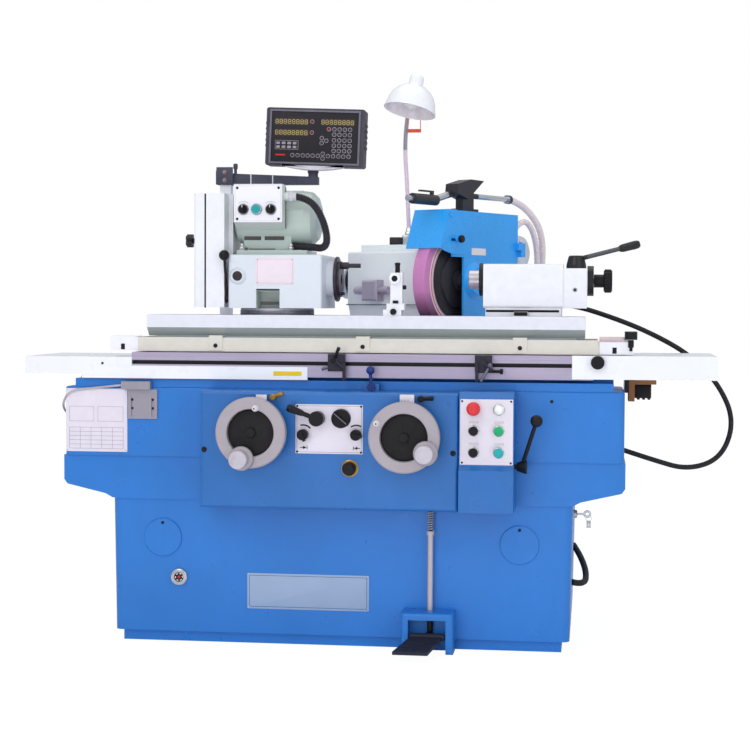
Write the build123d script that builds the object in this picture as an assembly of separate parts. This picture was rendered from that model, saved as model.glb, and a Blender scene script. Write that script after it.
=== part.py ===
"""Universal cylindrical grinder. Millimetres, +X right, +Y back, +Z up, origin on the floor."""
import os
from math import cos, pi, radians, sin, sqrt, tan

from build123d import *

# Bed
BED_HALF = 853.0        # half length of the wings
TRUNK_TOP = 704.0       # half width of the trunk under the wings
TRUNK_BOT = 697.0       # half width of the trunk at the plinth
PLINTH_HALF = 673.0
PLINTH_H = 33.0
SHOULDER_Z = 440.0      # where the wings leave the trunk
WING_Z = 482.0          # underside of the wings at their ends
SEAM_Z = 572.0
BED_TOP = 808.0
LEDGE_Z = BED_TOP - 25.0
BASE_FRONT = -425.0
BASE_BACK = 425.0
BED_FRONT = BASE_FRONT - 12.0
BED_REAR = -45.0
WALL = 35.0             # casting wall
DOOR_HALF, DOOR_Z0, DOOR_Z1 = 260.0, 90.0, 390.0    # way into the hollow base from behind
WIN_X0, WIN_X1, WIN_H = 380.0, 560.0, 120.0         # window into the upper bed from behind
COVER_X, COVER_Z, COVER_R = 546.0, 322.0, 59.0
WAY_Y = -340.0          # ridge of the vee way
FLAT_Y = -120.0         # middle of the flat way
GAP = 0.3               # clearance between moving pieces
FIT = 0.05              # radial clearance of a shaft in its bush

# Front boxes
APRON_X0, APRON_X1 = -395.0, 372.0
APRON_Y = BED_FRONT - 138.0
APRON_Z1 = LEDGE_Z - 2.0
APRON_Z0 = APRON_Z1 - 346.0
EBOX_X0, EBOX_X1 = 374.0, 533.0
EBOX_STEP = APRON_Z1 - 211.0      # top of the lower, prouder half
SHELL = 8.0

# Handwheels
HW_R = 104.0
HW_Y = APRON_Y - 62.0   # middle plane of the rims
HW_SHAFT = 14.0
HW_LEFT = (-228.0, APRON_Z1 - 117.0)
HW_RIGHT = (221.0, APRON_Z1 - 125.0)
GRIP_LEFT = (-24.0, -74.0)
GRIP_RIGHT = (64.0, -43.0)

# Table
TABLE_X0, TABLE_X1 = -640.0, 760.0
TABLE_FRONT, TABLE_REAR = -442.0, -62.0
TABLE_Z0 = BED_TOP + 10.0
TABLE_Z1 = TABLE_Z0 + 72.0
SLOT_Z, SLOT_H = TABLE_Z1 - 30.0, 12.0
SWIVEL_X0, SWIVEL_X1 = -602.0, 734.0
SWIVEL_Y0, SWIVEL_Y1 = -405.0, -205.0
SWIVEL_Z0 = TABLE_Z1 + 50.0
TABLE_TOP = SWIVEL_Z0 + 65.0
PIVOT_X, PIVOT_Y = 66.0, -305.0
TROUGH_Y0, TROUGH_Y1 = -420.0, -185.0
TROUGH_Z0 = TABLE_Z1 + 3.0
TROUGH_Z1 = TROUGH_Z0 + 43.0
CYL_Y, CYL_Z, CYL_R = -230.0, TABLE_Z0 + 24.0, 25.0
CYL_X0, CYL_X1 = 180.0, 640.0
PISTON_X = 300.0
COVER_L, COVER_R_END = -976.0, 1121.0
STRIP_END = -95.0       # right end of the strip along the lower table

# Work axis
CENTRE_H = 112.0
AXIS_Y = -245.0
AXIS_Z = TABLE_TOP + CENTRE_H

# Workhead
WH_X = -225.0           # swivel axis
WH_X0, WH_X1 = -355.0, -64.0
NOSE_L = 22.0           # round nose in front of the body
WH_Y0, WH_Y1 = AXIS_Y - 130.0, AXIS_Y + 150.0
WH_BASE_H = 21.0
WH_BASE_R = 115.0
WH_Z1 = AXIS_Z + 73.0
BELT_X0 = -464.0
MOTOR_Z, MOTOR_R = WH_Z1 + 115.0, 85.0
BELT_Z1 = MOTOR_Z + 73.0
CB_X0, CB_X1 = -332.0, -182.0       # control box on the motor
CB_Z0, CB_Z1 = MOTOR_Z - 17.0, MOTOR_Z + 98.0
CB_DEEP = 64.0
SELECT_Z = CB_Z0 + 38.0
PLATE_R, PLATE_T = 70.0, 18.0
WS_R = 30.0             # work spindle journal

# Tailstock
TS_X0, TS_X1, TS_X2 = 424.0, 666.0, 738.0
TS_Y0, TS_Y1 = AXIS_Y - 85.0, AXIS_Y + 55.0
TS_FOOT = 25.0
TS_Z1 = AXIS_Z + 47.0
TS_STEP = 13.0          # the end block under the lever is lower
QUILL_R = 29.5
QUILL_X = 376.0
PINION_R = 18.0
LEVER_X = 705.0

# Wheelhead, in its own frame: spindle along +X, turned by SWING about the pivot
SWING = 30.0
PIV_X, PIV_Y = 127.0, 166.0
PED_Z = BED_TOP + 52.0
SLIDE_Z = PED_Z + 70.0
HEAD_X0, HEAD_X1 = -141.0, 160.0
HEAD_Y0, HEAD_Y1, HEAD_Y2 = -130.0, 130.0, 407.0
HEAD_Z1 = AXIS_Z + 96.0
SPIN_Y = -60.0
WHEEL_X, WHEEL_R, WHEEL_T, WHEEL_BORE = 230.0, 175.0, 45.0, 63.5
FLANGE_R = 125.0
SPIN_R = 35.0
GUARD_W0, GUARD_W1 = -64.0, 63.5
GUARD_D0, GUARD_D1 = -64.0, 306.0
GUARD_Z0, GUARD_Z1 = SLIDE_Z + 2.0, AXIS_Z + 223.0
WMOT_D, WMOT_Z, WMOT_R = 407.0, AXIS_Z + 100.0, 65.0
LAMP_H = 574.0          # rise of the gooseneck over the lamp base

# Readout
POST_X, POST_Y = -437.0, -21.0
ARM_Z0 = AXIS_Z + 309.0
ARM_Z1 = ARM_Z0 + 38.0
CONSOLE_X0, CONSOLE_X1 = -297.0, 24.0
CONSOLE_Z0 = ARM_Z1 + 18.0
CONSOLE_Z1 = CONSOLE_Z0 + 186.0
CONSOLE_PIN = -150.0
CONSOLE_ROLL = 2.0      # the console leans down to the right

# Pedal
ROD_X, ROD_Y, ROD_R = 281.0, BASE_FRONT - 25.0, 8.5
PEDAL_Y, PEDAL_Z = ROD_Y - 40.0, 50.0
PAD_L = 142.0
PAD_LEAN = 9.0          # the pad slopes down to the front
COLLAR_Z = APRON_Z0 - 85.0

parts = {}


def bx(x0, x1, y0, y1, z0, z1):
    return Pos((x0 + x1) / 2, (y0 + y1) / 2, (z0 + z1) / 2) * Box(x1 - x0, y1 - y0, z1 - z0)


def rod_x(x0, x1, y, z, r):
    return Pos((x0 + x1) / 2, y, z) * Rot(0, 90, 0) * Cylinder(r, x1 - x0)


def rod_y(y0, y1, x, z, r):
    return Pos(x, (y0 + y1) / 2, z) * Rot(90, 0, 0) * Cylinder(r, y1 - y0)


def rod_z(z0, z1, x, y, r):
    return Pos(x, y, (z0 + z1) / 2) * Cylinder(r, z1 - z0)


def prism_x(pts, x0, x1):
    return extrude(make_face(Polyline(*[(x0, y, z) for y, z in pts], close=True)), x1 - x0, (1, 0, 0))


def prism_y(pts, y0, y1):
    return extrude(make_face(Polyline(*[(x, y0, z) for x, z in pts], close=True)), y1 - y0, (0, 1, 0))


def prism_z(pts, z0, z1):
    return extrude(make_face(Polyline(*[(x, y, z0) for x, y in pts], close=True)), z1 - z0, (0, 0, 1))


def lathe_x(pts):
    return revolve(make_face(Polyline(*[(x, r, 0) for x, r in pts], close=True)), Axis.X)


def lathe_y(pts):
    return revolve(make_face(Polyline(*[(r, y, 0) for r, y in pts], close=True)), Axis.Y)


def lathe_z(pts):
    return revolve(make_face(Polyline(*[(r, 0, z) for r, z in pts], close=True)), Axis.Z)


def upright(shape):
    return shape.edges().filter_by(Axis.Z)


def soft_front(shape, r):
    return fillet(shape.faces().sort_by(Axis.Y)[0].edges(), r)


def bar(a, b, r):
    a, b = Vector(*a), Vector(*b)
    return extrude(Plane(origin=a, z_dir=b - a) * Circle(r), (b - a).length)


def turned_bar(a, b, pts):
    """A turned handle along the line from a to b, from points of (radius, distance)."""
    a, b = Vector(*a), Vector(*b)
    return Plane(origin=a, z_dir=b - a) * lathe_z(pts)


def bend_path(name, pts):
    """Straight runs joined by tangent arcs; the radii are printed."""
    v = [Vector(*p) for p in pts]
    radii = []
    for a, b, c in zip(v, v[1:], v[2:]):
        turn = radians((b - a).get_angle(c - b))
        radii.append(0.45 * min((b - a).length, (c - b).length) / tan(turn / 2))
    radii = [min(r, 400.0) for r in radii]
    print(name, "bend radii", [round(r) for r in radii])
    return FilletPolyline(*pts, radius=radii)


def tube(name, pts, r, bore=0.0):
    path = bend_path(name, pts)
    ring = Plane(origin=path @ 0, z_dir=path % 0) * Circle(r)
    body = sweep(ring, path=path)
    if bore:
        body -= sweep(Plane(origin=path @ 0, z_dir=path % 0) * Circle(bore), path=path)
    return body


def belt(x0, x1, a, b, ra, rb, thick):
    """Open belt in the plane across X round two pulleys at a and b, given as (y, z)."""
    outer = make_hull((Pos(*a) * Circle(ra + thick)).edges() + (Pos(*b) * Circle(rb + thick)).edges())
    inner = make_hull((Pos(*a) * Circle(ra)).edges() + (Pos(*b) * Circle(rb)).edges())
    return Plane(origin=(x0, 0, 0), x_dir=(0, 1, 0), z_dir=(1, 0, 0)) * extrude(outer - inner, x1 - x0)


# Bed casting
trunk = prism_y([(-TRUNK_BOT, PLINTH_H), (TRUNK_BOT, PLINTH_H), (TRUNK_TOP, SHOULDER_Z),
                 (-TRUNK_TOP, SHOULDER_Z)], BASE_FRONT, BASE_BACK)
trunk = fillet([e for e in trunk.edges() if abs((e % 0.5).Z) > 0.9], 22)
bed = trunk + bx(-PLINTH_HALF, PLINTH_HALF, BASE_FRONT + 15, BASE_BACK - 15, 0, PLINTH_H)
wing = [(-TRUNK_TOP + 30, SHOULDER_Z), (TRUNK_TOP - 30, SHOULDER_Z), (TRUNK_TOP, SHOULDER_Z + 2),
        (TRUNK_TOP + 22, SHOULDER_Z + 14), (BED_HALF - 6, WING_Z), (BED_HALF + 4, WING_Z + 14),
        (BED_HALF + 4, SEAM_Z)]
wing += [(-x, z) for x, z in reversed(wing[2:])]
bed += prism_y(wing, BASE_FRONT - 6, BED_REAR)
upper = fillet(upright(bx(-BED_HALF, BED_HALF, BED_FRONT, BED_REAR, SEAM_Z, LEDGE_Z)), 18)
upper = fillet(upper.faces().sort_by(Axis.Z)[-1].edges(), 6)
bed += upper
bed += bx(-BED_HALF + 33, BED_HALF - 33, BED_FRONT + 6, BED_REAR, LEDGE_Z - 1, BED_TOP)
bed += bx(PIV_X - 190, PIV_X + 205, BED_REAR - 10, BASE_BACK, SHOULDER_Z - 1, PED_Z)
bed += bx(PIV_X - 20, PIV_X + 20, BED_REAR - 10 + WALL, BASE_BACK, PED_Z - 1, PED_Z + 20)
bed -= bx(-TRUNK_BOT + WALL, TRUNK_BOT - WALL, BASE_FRONT + WALL, BASE_BACK - WALL, PLINTH_H, SHOULDER_Z - WALL)
bed -= bx(-DOOR_HALF, DOOR_HALF, BASE_BACK - WALL - 1, BASE_BACK + 1, DOOR_Z0, DOOR_Z1)
bed -= bx(-TRUNK_TOP + 2 * WALL, TRUNK_TOP - 2 * WALL, BASE_FRONT + WALL, BED_REAR - WALL,
          SHOULDER_Z - WALL - 1, SEAM_Z + 1)
bed -= bx(-BED_HALF + WALL, BED_HALF - WALL, BASE_FRONT + WALL, BED_REAR - WALL, SEAM_Z, LEDGE_Z - WALL)
bed -= bx(WIN_X0, WIN_X1, BED_REAR - WALL - 1, BED_REAR + 1, SEAM_Z + 28, SEAM_Z + 28 + WIN_H)
bed -= bx(PIV_X - 190 + WALL, PIV_X + 205 - WALL, BED_REAR + WALL, BASE_BACK - WALL,
          SHOULDER_Z - WALL - 1, PED_Z - WALL)
vee = [(WAY_Y - 35, BED_TOP - 1), (WAY_Y + 35, BED_TOP - 1), (WAY_Y + 35, BED_TOP), (WAY_Y + 10, BED_TOP + 25),
       (WAY_Y - 10, BED_TOP + 25), (WAY_Y - 35, BED_TOP)]
bed += prism_x(vee, -BED_HALF + 33, BED_HALF - 33)
bed += bx(-BED_HALF + 33, BED_HALF - 33, FLAT_Y - 30, FLAT_Y + 30, BED_TOP - 1, BED_TOP + 20)
for side in (-1, 1):
    cover = rod_y(BASE_FRONT - 5, BASE_FRONT + 1, side * COVER_X, COVER_Z, COVER_R)
    cover = chamfer(cover.edges().group_by(Axis.Y)[0], 2)
    bed += cover - rod_y(BASE_FRONT - 6, BASE_FRONT - 2, side * COVER_X, COVER_Z + 0.76 * COVER_R, 5)
for x, z in (HW_LEFT, HW_RIGHT):
    bed -= rod_y(BED_FRONT - 1, BASE_FRONT + WALL + 1, x, z, HW_SHAFT + 4)
parts["bed_casting"] = bed

# Apron box, with bosses for the shafts
apron = soft_front(bx(APRON_X0, APRON_X1, APRON_Y, BED_FRONT, APRON_Z0, APRON_Z1), 9)
apron -= bx(APRON_X0 + SHELL, APRON_X1 - SHELL, APRON_Y + SHELL, BED_FRONT + 1, APRON_Z0 + SHELL,
            APRON_Z1 - SHELL)
for x, z in (HW_LEFT, HW_RIGHT):
    apron += rod_y(APRON_Y - 6, APRON_Y + 26, x, z, 34)
    apron -= rod_y(APRON_Y - 7, APRON_Y + 27, x, z, HW_SHAFT + FIT)
REV_X, REV_Z = 104.0, APRON_Z1 + 12
apron += bx(REV_X - 22, REV_X + 22, APRON_Y + 95, BED_FRONT, APRON_Z1 - 1, APRON_Z1 + 22)
apron -= rod_y(APRON_Y + 94, APRON_Y + 120, REV_X, REV_Z, 6 + FIT)
apron -= rod_z(APRON_Z0 - 1, APRON_Z0 + SHELL + 1, ROD_X, ROD_Y, 5 + FIT)
KNOBS = {"speed_knob": (29.0, APRON_Z1 - 76, 28.0), "dwell_knob_left": (-85.0, APRON_Z1 - 125, 16.0),
         "dwell_knob_right": (73.0, APRON_Z1 - 124, 16.0), "oil_knob": (54.0, APRON_Z1 - 223, 20.0)}
BAR_TURN = {"speed_knob": -50.0, "dwell_knob_left": -20.0, "dwell_knob_right": -75.0}    # finger bars from upright
START = (-42.0, APRON_Z1 - 77)
for x, z in [START] + [(k[0], k[1]) for k in KNOBS.values()]:
    apron -= rod_y(APRON_Y - 1, APRON_Y + SHELL + 1, x, z, 6 + FIT)
parts["apron_box"] = apron

# Electrical box: an upper half behind the button plate, a prouder lower half
ebox = bx(EBOX_X0, EBOX_X1, APRON_Y - 2, BED_FRONT, APRON_Z0, APRON_Z1 + 5)
ebox = chamfer(ebox.faces().sort_by(Axis.Z)[-1].edges().sort_by(Axis.Y)[0], 17)
ebox += prism_x([(BED_FRONT, APRON_Z0), (APRON_Y - 14, APRON_Z0), (APRON_Y - 14, EBOX_STEP - 12),
                 (APRON_Y - 2, EBOX_STEP), (BED_FRONT, EBOX_STEP)], EBOX_X0, EBOX_X1)
ebox -= bx(EBOX_X0 + SHELL, EBOX_X1 - SHELL, APRON_Y + SHELL, BED_FRONT + 1, APRON_Z0 + SHELL,
           APRON_Z1 - 20)
BUTTONS = {"estop_button": (417.0, APRON_Z1 - 42, 20.0), "button_black_upper": (417.0, APRON_Z1 - 107, 13.5),
           "button_green": (490.0, APRON_Z1 - 107, 14.0), "button_black_lower": (417.0, APRON_Z1 - 170, 13.5),
           "button_teal": (490.0, APRON_Z1 - 170, 14.0)}
for x, z, r in BUTTONS.values():
    ebox -= rod_y(APRON_Y - 15, APRON_Y + SHELL + 1, x, z, 9 + FIT)
RAP_Y, RAP_Z = APRON_Y + 15.0, APRON_Z1 - 214.0
ebox -= rod_x(EBOX_X1 - SHELL - 1, EBOX_X1 + 1, RAP_Y + 30, RAP_Z, 8 + FIT)
parts["electric_box"] = ebox

# Buttons, each with a stem through the box wall
for name, (x, z, r) in BUTTONS.items():
    y = APRON_Y - 2
    stem = rod_y(y - 12, y + 30, x, z, 9)
    if name == "estop_button":
        cap = Pos(x, 0, z) * lathe_y([(0, y - 40), (r * 0.7, y - 38), (r, y - 30), (r, y - 24),
                                      (r * 0.6, y - 19),
                                      (r * 0.6, y - 10), (0, y - 10)])
    else:
        cap = chamfer(rod_y(y - 20, y - 10, x, z, r).edges().group_by(Axis.Y)[0], 1.5)
    parts[name] = stem + cap

# Handwheels: rim, web, hub and shaft
def handwheel(at, grip):
    x, z = at
    rim = [(HW_R - 35, -6), (HW_R - 35, -17), (HW_R - 33, -20), (HW_R - 5, -20), (HW_R - 1, -17), (HW_R, -12),
           (HW_R, 4), (HW_R - 3, 11), (HW_R - 10, 15), (HW_R - 22, 15), (HW_R - 32, 11), (HW_R - 35, 4)]
    wheel = lathe_y(rim) + rod_y(-4, 6, 0, 0, HW_R - 30)
    wheel += rod_y(-8, 40, 0, 0, 24) + rod_y(-18, -7, 0, 0, 13)
    gx, gz = grip
    wheel += rod_y(-20, 0, gx, gz, 17)
    knob = lathe_y([(0, -84), (20, -84), (27, -78), (27, -58), (20, -46), (20, -38), (34, -34), (36, -28),
                    (34, -20), (0, -20)])
    wheel += Pos(gx, 0, gz) * knob
    wheel = Pos(x, HW_Y, z) * wheel
    return wheel + rod_y(HW_Y, BASE_FRONT + WALL + 40, x, z, HW_SHAFT)


parts["table_handwheel"] = handwheel(HW_LEFT, GRIP_LEFT)
parts["infeed_handwheel"] = handwheel(HW_RIGHT, GRIP_RIGHT)

# Levers and knobs on the apron
x, z = START
lever = rod_y(APRON_Y - 34, APRON_Y - 2, x, z, 22) + rod_y(APRON_Y - 3, APRON_Y + 24, x, z, 6)
tip = (x - 82, APRON_Y - 42, z + 33)
lever += turned_bar((x, APRON_Y - 26, z), tip, [(0, 0), (7, 0), (7, 40), (9, 46), (12, 84), (9, 92), (0, 93)])
parts["start_lever"] = lever
for name, (x, z, r) in KNOBS.items():
    knob = rod_y(APRON_Y - 24, APRON_Y - 2, x, z, r)
    knob = chamfer(knob.edges().group_by(Axis.Y)[0], r * 0.14)
    if name in BAR_TURN:
        reach = r - 1 if name == "speed_knob" else r + 4
        grip = bx(-0.2 * r, 0.2 * r, APRON_Y - 31, APRON_Y - 14, -reach, 0.8 * r)
        knob += Pos(x, 0, z) * Rot(0, BAR_TURN[name], 0) * grip
    else:
        knob += chamfer(rod_y(APRON_Y - 36, APRON_Y - 23, x, z, r - 2).edges().group_by(Axis.Y)[0], 3)
    parts[name] = knob + rod_y(APRON_Y - 3, APRON_Y + 24, x, z, 6)

ry = APRON_Y + 95
lever = rod_y(ry - 14, ry, REV_X, REV_Z, 12) + rod_y(ry - 1, ry + 20, REV_X, REV_Z, 6)
lever += bar((REV_X, ry - 7, REV_Z), (REV_X - 2, ry - 7, REV_Z + 46), 5)
lever += Pos(REV_X - 2, ry - 7, REV_Z + 50) * Sphere(13)
parts["reverse_lever"] = lever

hub_y = RAP_Y + 30
lever = rod_x(EBOX_X1 - 30, EBOX_X1 + 12, hub_y, RAP_Z, 8)
hub = [(EBOX_X1 + 8, 0), (EBOX_X1 + 8, 12), (EBOX_X1 + 12, 14), (EBOX_X1 + 33, 21), (EBOX_X1 + 37, 19),
       (EBOX_X1 + 37, 0)]
lever += Pos(0, hub_y, RAP_Z) * lathe_x(hub)
lever += bar((EBOX_X1 + 22, hub_y, RAP_Z), (EBOX_X1 + 65, hub_y - 40, RAP_Z + 137), 6)
lever += Pos(EBOX_X1 + 65, hub_y - 40, RAP_Z + 137) * Sphere(18)
parts["rapid_lever"] = lever

# Foot pedal, its guard, rod and spring
GUARD_X0, GUARD_X1, GUARD_H = 200.0, 355.0, 124.0
guard = soft_front(bx(GUARD_X0, GUARD_X1, PEDAL_Y - 18, BASE_FRONT, 0, GUARD_H), 10)
guard -= bx(GUARD_X0 + 20, GUARD_X1 - 22, PEDAL_Y - 19, BASE_FRONT - 12, -1, GUARD_H - 22)
guard -= rod_z(GUARD_H - 30, GUARD_H + 1, ROD_X, ROD_Y, ROD_R + 2)
guard -= rod_x(GUARD_X0 + 10, GUARD_X1 - 10, PEDAL_Y, PEDAL_Z, 6 + FIT)
parts["pedal_guard"] = guard

pad = prism_z([(GUARD_X0 + 30, 0), (GUARD_X1 - 32, 0), (GUARD_X1 - 64, -PAD_L), (GUARD_X0 - 12, -PAD_L)], -6, 4)
for k in range(7):
    y0 = 4 - PAD_L + 15 * k
    lean = -(y0 + 6) / PAD_L
    pad += bx(GUARD_X0 + 34 - 42 * lean, GUARD_X1 - 36 - 32 * lean, y0, y0 + 7, 3.5, 6.5)
pad = Pos(0, PEDAL_Y, PEDAL_Z) * Rot(PAD_LEAN, 0, 0) * pad
pedal = pad + rod_x(GUARD_X0 + 25, GUARD_X1 - 27, PEDAL_Y, PEDAL_Z, 11)
pedal += rod_x(GUARD_X0 + 11, GUARD_X1 - 11, PEDAL_Y, PEDAL_Z, 6)
pedal += bx(ROD_X - 12, ROD_X + 12, PEDAL_Y, ROD_Y + 11, PEDAL_Z - 8, PEDAL_Z + 4)
parts["foot_pedal"] = pedal

foot_z = PEDAL_Z + 4 + GAP
rod = rod_z(foot_z + ROD_R, COLLAR_Z, ROD_X, ROD_Y, ROD_R) + Pos(ROD_X, ROD_Y, foot_z + ROD_R) * Sphere(ROD_R)
rod += rod_z(COLLAR_Z, COLLAR_Z + 12, ROD_X, ROD_Y, 12)
rod += rod_z(COLLAR_Z, APRON_Z0 + 40, ROD_X, ROD_Y, 5)
parts["pedal_rod"] = rod

WIRE_R, COIL_R, COILS = 1.9, 9.0, 10
coil_z0 = COLLAR_Z + 12 + WIRE_R + 0.05
coil_h = APRON_Z0 - WIRE_R - 0.05 - coil_z0
pitch = coil_h / COILS
print("spring pitch", round(pitch, 2), "gap between curls", round(pitch - 2 * WIRE_R, 2))
helix = Helix(pitch, coil_h, COIL_R)
spring = sweep(Plane(origin=helix @ 0, z_dir=helix % 0) * Circle(WIRE_R), path=helix, is_frenet=True)
parts["pedal_spring"] = Pos(ROD_X, ROD_Y, coil_z0) * spring

# Lower table with its ways, front T-slot and cylinder channel
table = bx(TABLE_X0, TABLE_X1, TABLE_FRONT, TABLE_REAR, TABLE_Z0, TABLE_Z1)
g = GAP * sqrt(2)
rise = TABLE_Z0 - 1 - BED_TOP
groove = [(WAY_Y - 35 - g + rise, TABLE_Z0 - 1), (WAY_Y + 35 + g - rise, TABLE_Z0 - 1),
          (WAY_Y + 8, BED_TOP + 27 + g), (WAY_Y - 8, BED_TOP + 27 + g)]
table -= prism_x(groove, TABLE_X0 - 1, TABLE_X1 + 1)
table -= bx(TABLE_X0 - 1, TABLE_X1 + 1, FLAT_Y - 31, FLAT_Y + 31, TABLE_Z0 - 1, BED_TOP + 20)
table -= bx(TABLE_X0 - 1, TABLE_X1 + 1, CYL_Y - 32, CYL_Y + 32, TABLE_Z0 - 1, CYL_Z + 30)
table -= bx(TABLE_X0 - 1, TABLE_X1 + 1, TABLE_FRONT - 1, TABLE_FRONT + 12, SLOT_Z - SLOT_H / 2,
            SLOT_Z + SLOT_H / 2)
table -= bx(TABLE_X0 - 1, TABLE_X1 + 1, TABLE_FRONT + 10, TABLE_FRONT + 22, SLOT_Z - SLOT_H, SLOT_Z + SLOT_H)
table -= rod_z(TABLE_Z1 - 19, TABLE_Z1 + 1, PIVOT_X, PIVOT_Y, 25 + FIT)

cyl = rod_x(CYL_X0, CYL_X1, CYL_Y, CYL_Z, CYL_R)
cyl -= rod_x(CYL_X0 + 12, CYL_X1 - 12, CYL_Y, CYL_Z, CYL_R - 5)
cyl -= rod_x(CYL_X1 - 13, CYL_X1 + 1, CYL_Y, CYL_Z, 10 + FIT)
for x in (CYL_X0 + 10, CYL_X1 - 50):
    saddle = bx(x, x + 40, CYL_Y - 30, CYL_Y + 30, CYL_Z, CYL_Z + 30)
    cyl += saddle - rod_x(x - 1, x + 41, CYL_Y, CYL_Z, CYL_R - 2)
parts["lower_table"] = table + cyl

rod = rod_x(PISTON_X - 10, BED_HALF + 27, CYL_Y, CYL_Z, 10)
rod += rod_x(PISTON_X - 10, PISTON_X + 10, CYL_Y, CYL_Z, CYL_R - 5 - FIT)
rod += bx(BED_HALF, BED_HALF + 14, CYL_Y - 45, CYL_Y + 45, BED_TOP - 34, BED_TOP + 4)
rod += bx(BED_HALF + 13, BED_HALF + 32, CYL_Y - 45, CYL_Y + 45, LEDGE_Z - 35, BED_TOP + 4)
rod += bx(BED_HALF, BED_HALF + 97, CYL_Y - 45, CYL_Y + 45, BED_TOP - 8, BED_TOP + 4)
rod += bx(BED_HALF + 16, BED_HALF + 36, CYL_Y - 20, CYL_Y + 20, BED_TOP + 3, CYL_Z + 16)
rod += bx(BED_HALF + 31, BED_HALF + 82, CYL_Y - 28, CYL_Y + 28, BED_TOP - 50, BED_TOP - 7)
parts["piston_rod"] = rod

dogs = None
for x0, tail in ((-30, 46), (411, 2)):
    dog = bx(x0, x0 + 50, TABLE_FRONT - 26, TABLE_FRONT, SLOT_Z - 22, SLOT_Z + 30)
    dog = soft_front(dog, 4)
    dog += bx(x0 + tail, x0 + tail + 8, TABLE_FRONT - 36, TABLE_FRONT - 20, SLOT_Z - 48, SLOT_Z + 4)
    dog += bx(x0 + 8, x0 + 42, TABLE_FRONT - 1, TABLE_FRONT + 11, SLOT_Z - SLOT_H / 2 + GAP,
              SLOT_Z + SLOT_H / 2 - GAP)
    dog += bx(x0 + 8, x0 + 42, TABLE_FRONT + 10 + GAP, TABLE_FRONT + 20, SLOT_Z - SLOT_H + 1,
              SLOT_Z + SLOT_H - 1)
    dog += bar((x0 + 25, TABLE_FRONT - 30, SLOT_Z + 8), (x0 + 52, TABLE_FRONT - 36, SLOT_Z - 14), 5)
    dog += rod_y(TABLE_FRONT - 34, TABLE_FRONT - 24, x0 + 25, SLOT_Z + 8, 9)
    dogs = dog if dogs is None else dogs + dog
parts["trip_dogs"] = dogs

# Way covers, open channels over the ends of the bed
cz = TABLE_Z1 - 15
left = bx(COVER_L, TABLE_X0, TABLE_FRONT, TABLE_REAR - 13, TABLE_Z0 + 4, cz)
left -= bx(COVER_L - 1, TABLE_X0 + 1, TABLE_FRONT + 4, TABLE_REAR - 17, TABLE_Z0, cz - 4)
left += bx(COVER_L + 180, STRIP_END, TABLE_FRONT - 4, TABLE_FRONT, TABLE_Z0 - 8, TABLE_Z0 + 31)
right = bx(TABLE_X1, COVER_R_END, TABLE_FRONT - 4, TABLE_REAR - 13, TABLE_Z0 + 3, TABLE_Z1 + 1)
right -= bx(TABLE_X1 - 1, COVER_R_END + 1, TABLE_FRONT, TABLE_REAR - 17, TABLE_Z0, TABLE_Z1 - 3)
right += bx(TABLE_X1 - 63, TABLE_X1 + 1, TABLE_FRONT - 4, TABLE_FRONT, TABLE_Z0 + 3, TABLE_Z1 + 1)
right += rod_y(TABLE_FRONT - 22, TABLE_FRONT - 3, TABLE_X1 + 12, TABLE_Z1 - 19, 19)
parts["way_covers"] = left + right

# Swivel table on its pivot, standing on a foot
front = [(SWIVEL_Y0, TABLE_TOP), (SWIVEL_Y0, TABLE_TOP - 39), (SWIVEL_Y0 + 26, SWIVEL_Z0),
         (SWIVEL_Y1, SWIVEL_Z0),
         (SWIVEL_Y1, TABLE_TOP)]
swivel = prism_x(front, SWIVEL_X0, SWIVEL_X1)
FOOT_Y0, FOOT_Y1 = SWIVEL_Y0 + 25, SWIVEL_Y1 - 8
swivel += bx(SWIVEL_X0 + 24, SWIVEL_X1 - 24, FOOT_Y0, FOOT_Y1, TABLE_Z1, SWIVEL_Z0 + 1)
swivel += rod_z(TABLE_Z1 - 18, TABLE_Z1 + 1, PIVOT_X, PIVOT_Y, 25)

TRAY_X0, TRAY_X1 = TABLE_X0 + 8, TABLE_X1 + 13
tray = bx(TRAY_X0, TRAY_X1, TROUGH_Y0, TROUGH_Y1, TROUGH_Z0, TROUGH_Z1)
tray -= bx(TRAY_X0 + 4, TRAY_X1 - 4, TROUGH_Y0 + 4, TROUGH_Y1 - 4, TROUGH_Z0 + 4, TROUGH_Z1 + 1)
tray -= bx(SWIVEL_X0 + 24, SWIVEL_X1 - 24, FOOT_Y0, FOOT_Y1, TROUGH_Z0 - 1, TROUGH_Z0 + 5)
for x in (-382, 70, 542):
    tray += bx(x - 21, x + 21, TROUGH_Y0 - 4, TROUGH_Y0, TROUGH_Z0 + 4, TROUGH_Z1 + 6)
    tray += bx(x - 21, x + 21, TROUGH_Y0 - 4, SWIVEL_Y0 + 14, TROUGH_Z1 + 2, TROUGH_Z1 + 6)
    tray += bx(x - 21, x + 21, SWIVEL_Y0 + 13, FOOT_Y0, TROUGH_Z1 + 1, SWIVEL_Z0)
    tray += rod_y(TROUGH_Y0 - 8, TROUGH_Y0 - 4, x, TROUGH_Z0 + 18, 6)
tray += bx(TRAY_X0 - 84, TRAY_X0 + 1, TROUGH_Y0 + 5, TROUGH_Y0 + 70, TROUGH_Z0 + 2, TROUGH_Z1 + 2)
tray += bx(TRAY_X1 - 1, TRAY_X1 + 102, TROUGH_Y0 + 5, TROUGH_Y0 + 70, TROUGH_Z0 + 2, TROUGH_Z1 - 4)
tray += bx(TRAY_X1 + 30, TRAY_X1 + 100, TROUGH_Y0 + 12, TROUGH_Y0 + 60, TROUGH_Z1 - 5, TROUGH_Z1 + 10)
tray += rod_z(TROUGH_Z0 + 12, TROUGH_Z1 + 26, TRAY_X1 + 96, TROUGH_Y0 + 4, 4)
tray += rod_z(TROUGH_Z1 + 2, TROUGH_Z1 + 27, TRAY_X1 + 96, TROUGH_Y0 + 4, 18)
parts["table_trough"] = tray

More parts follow.
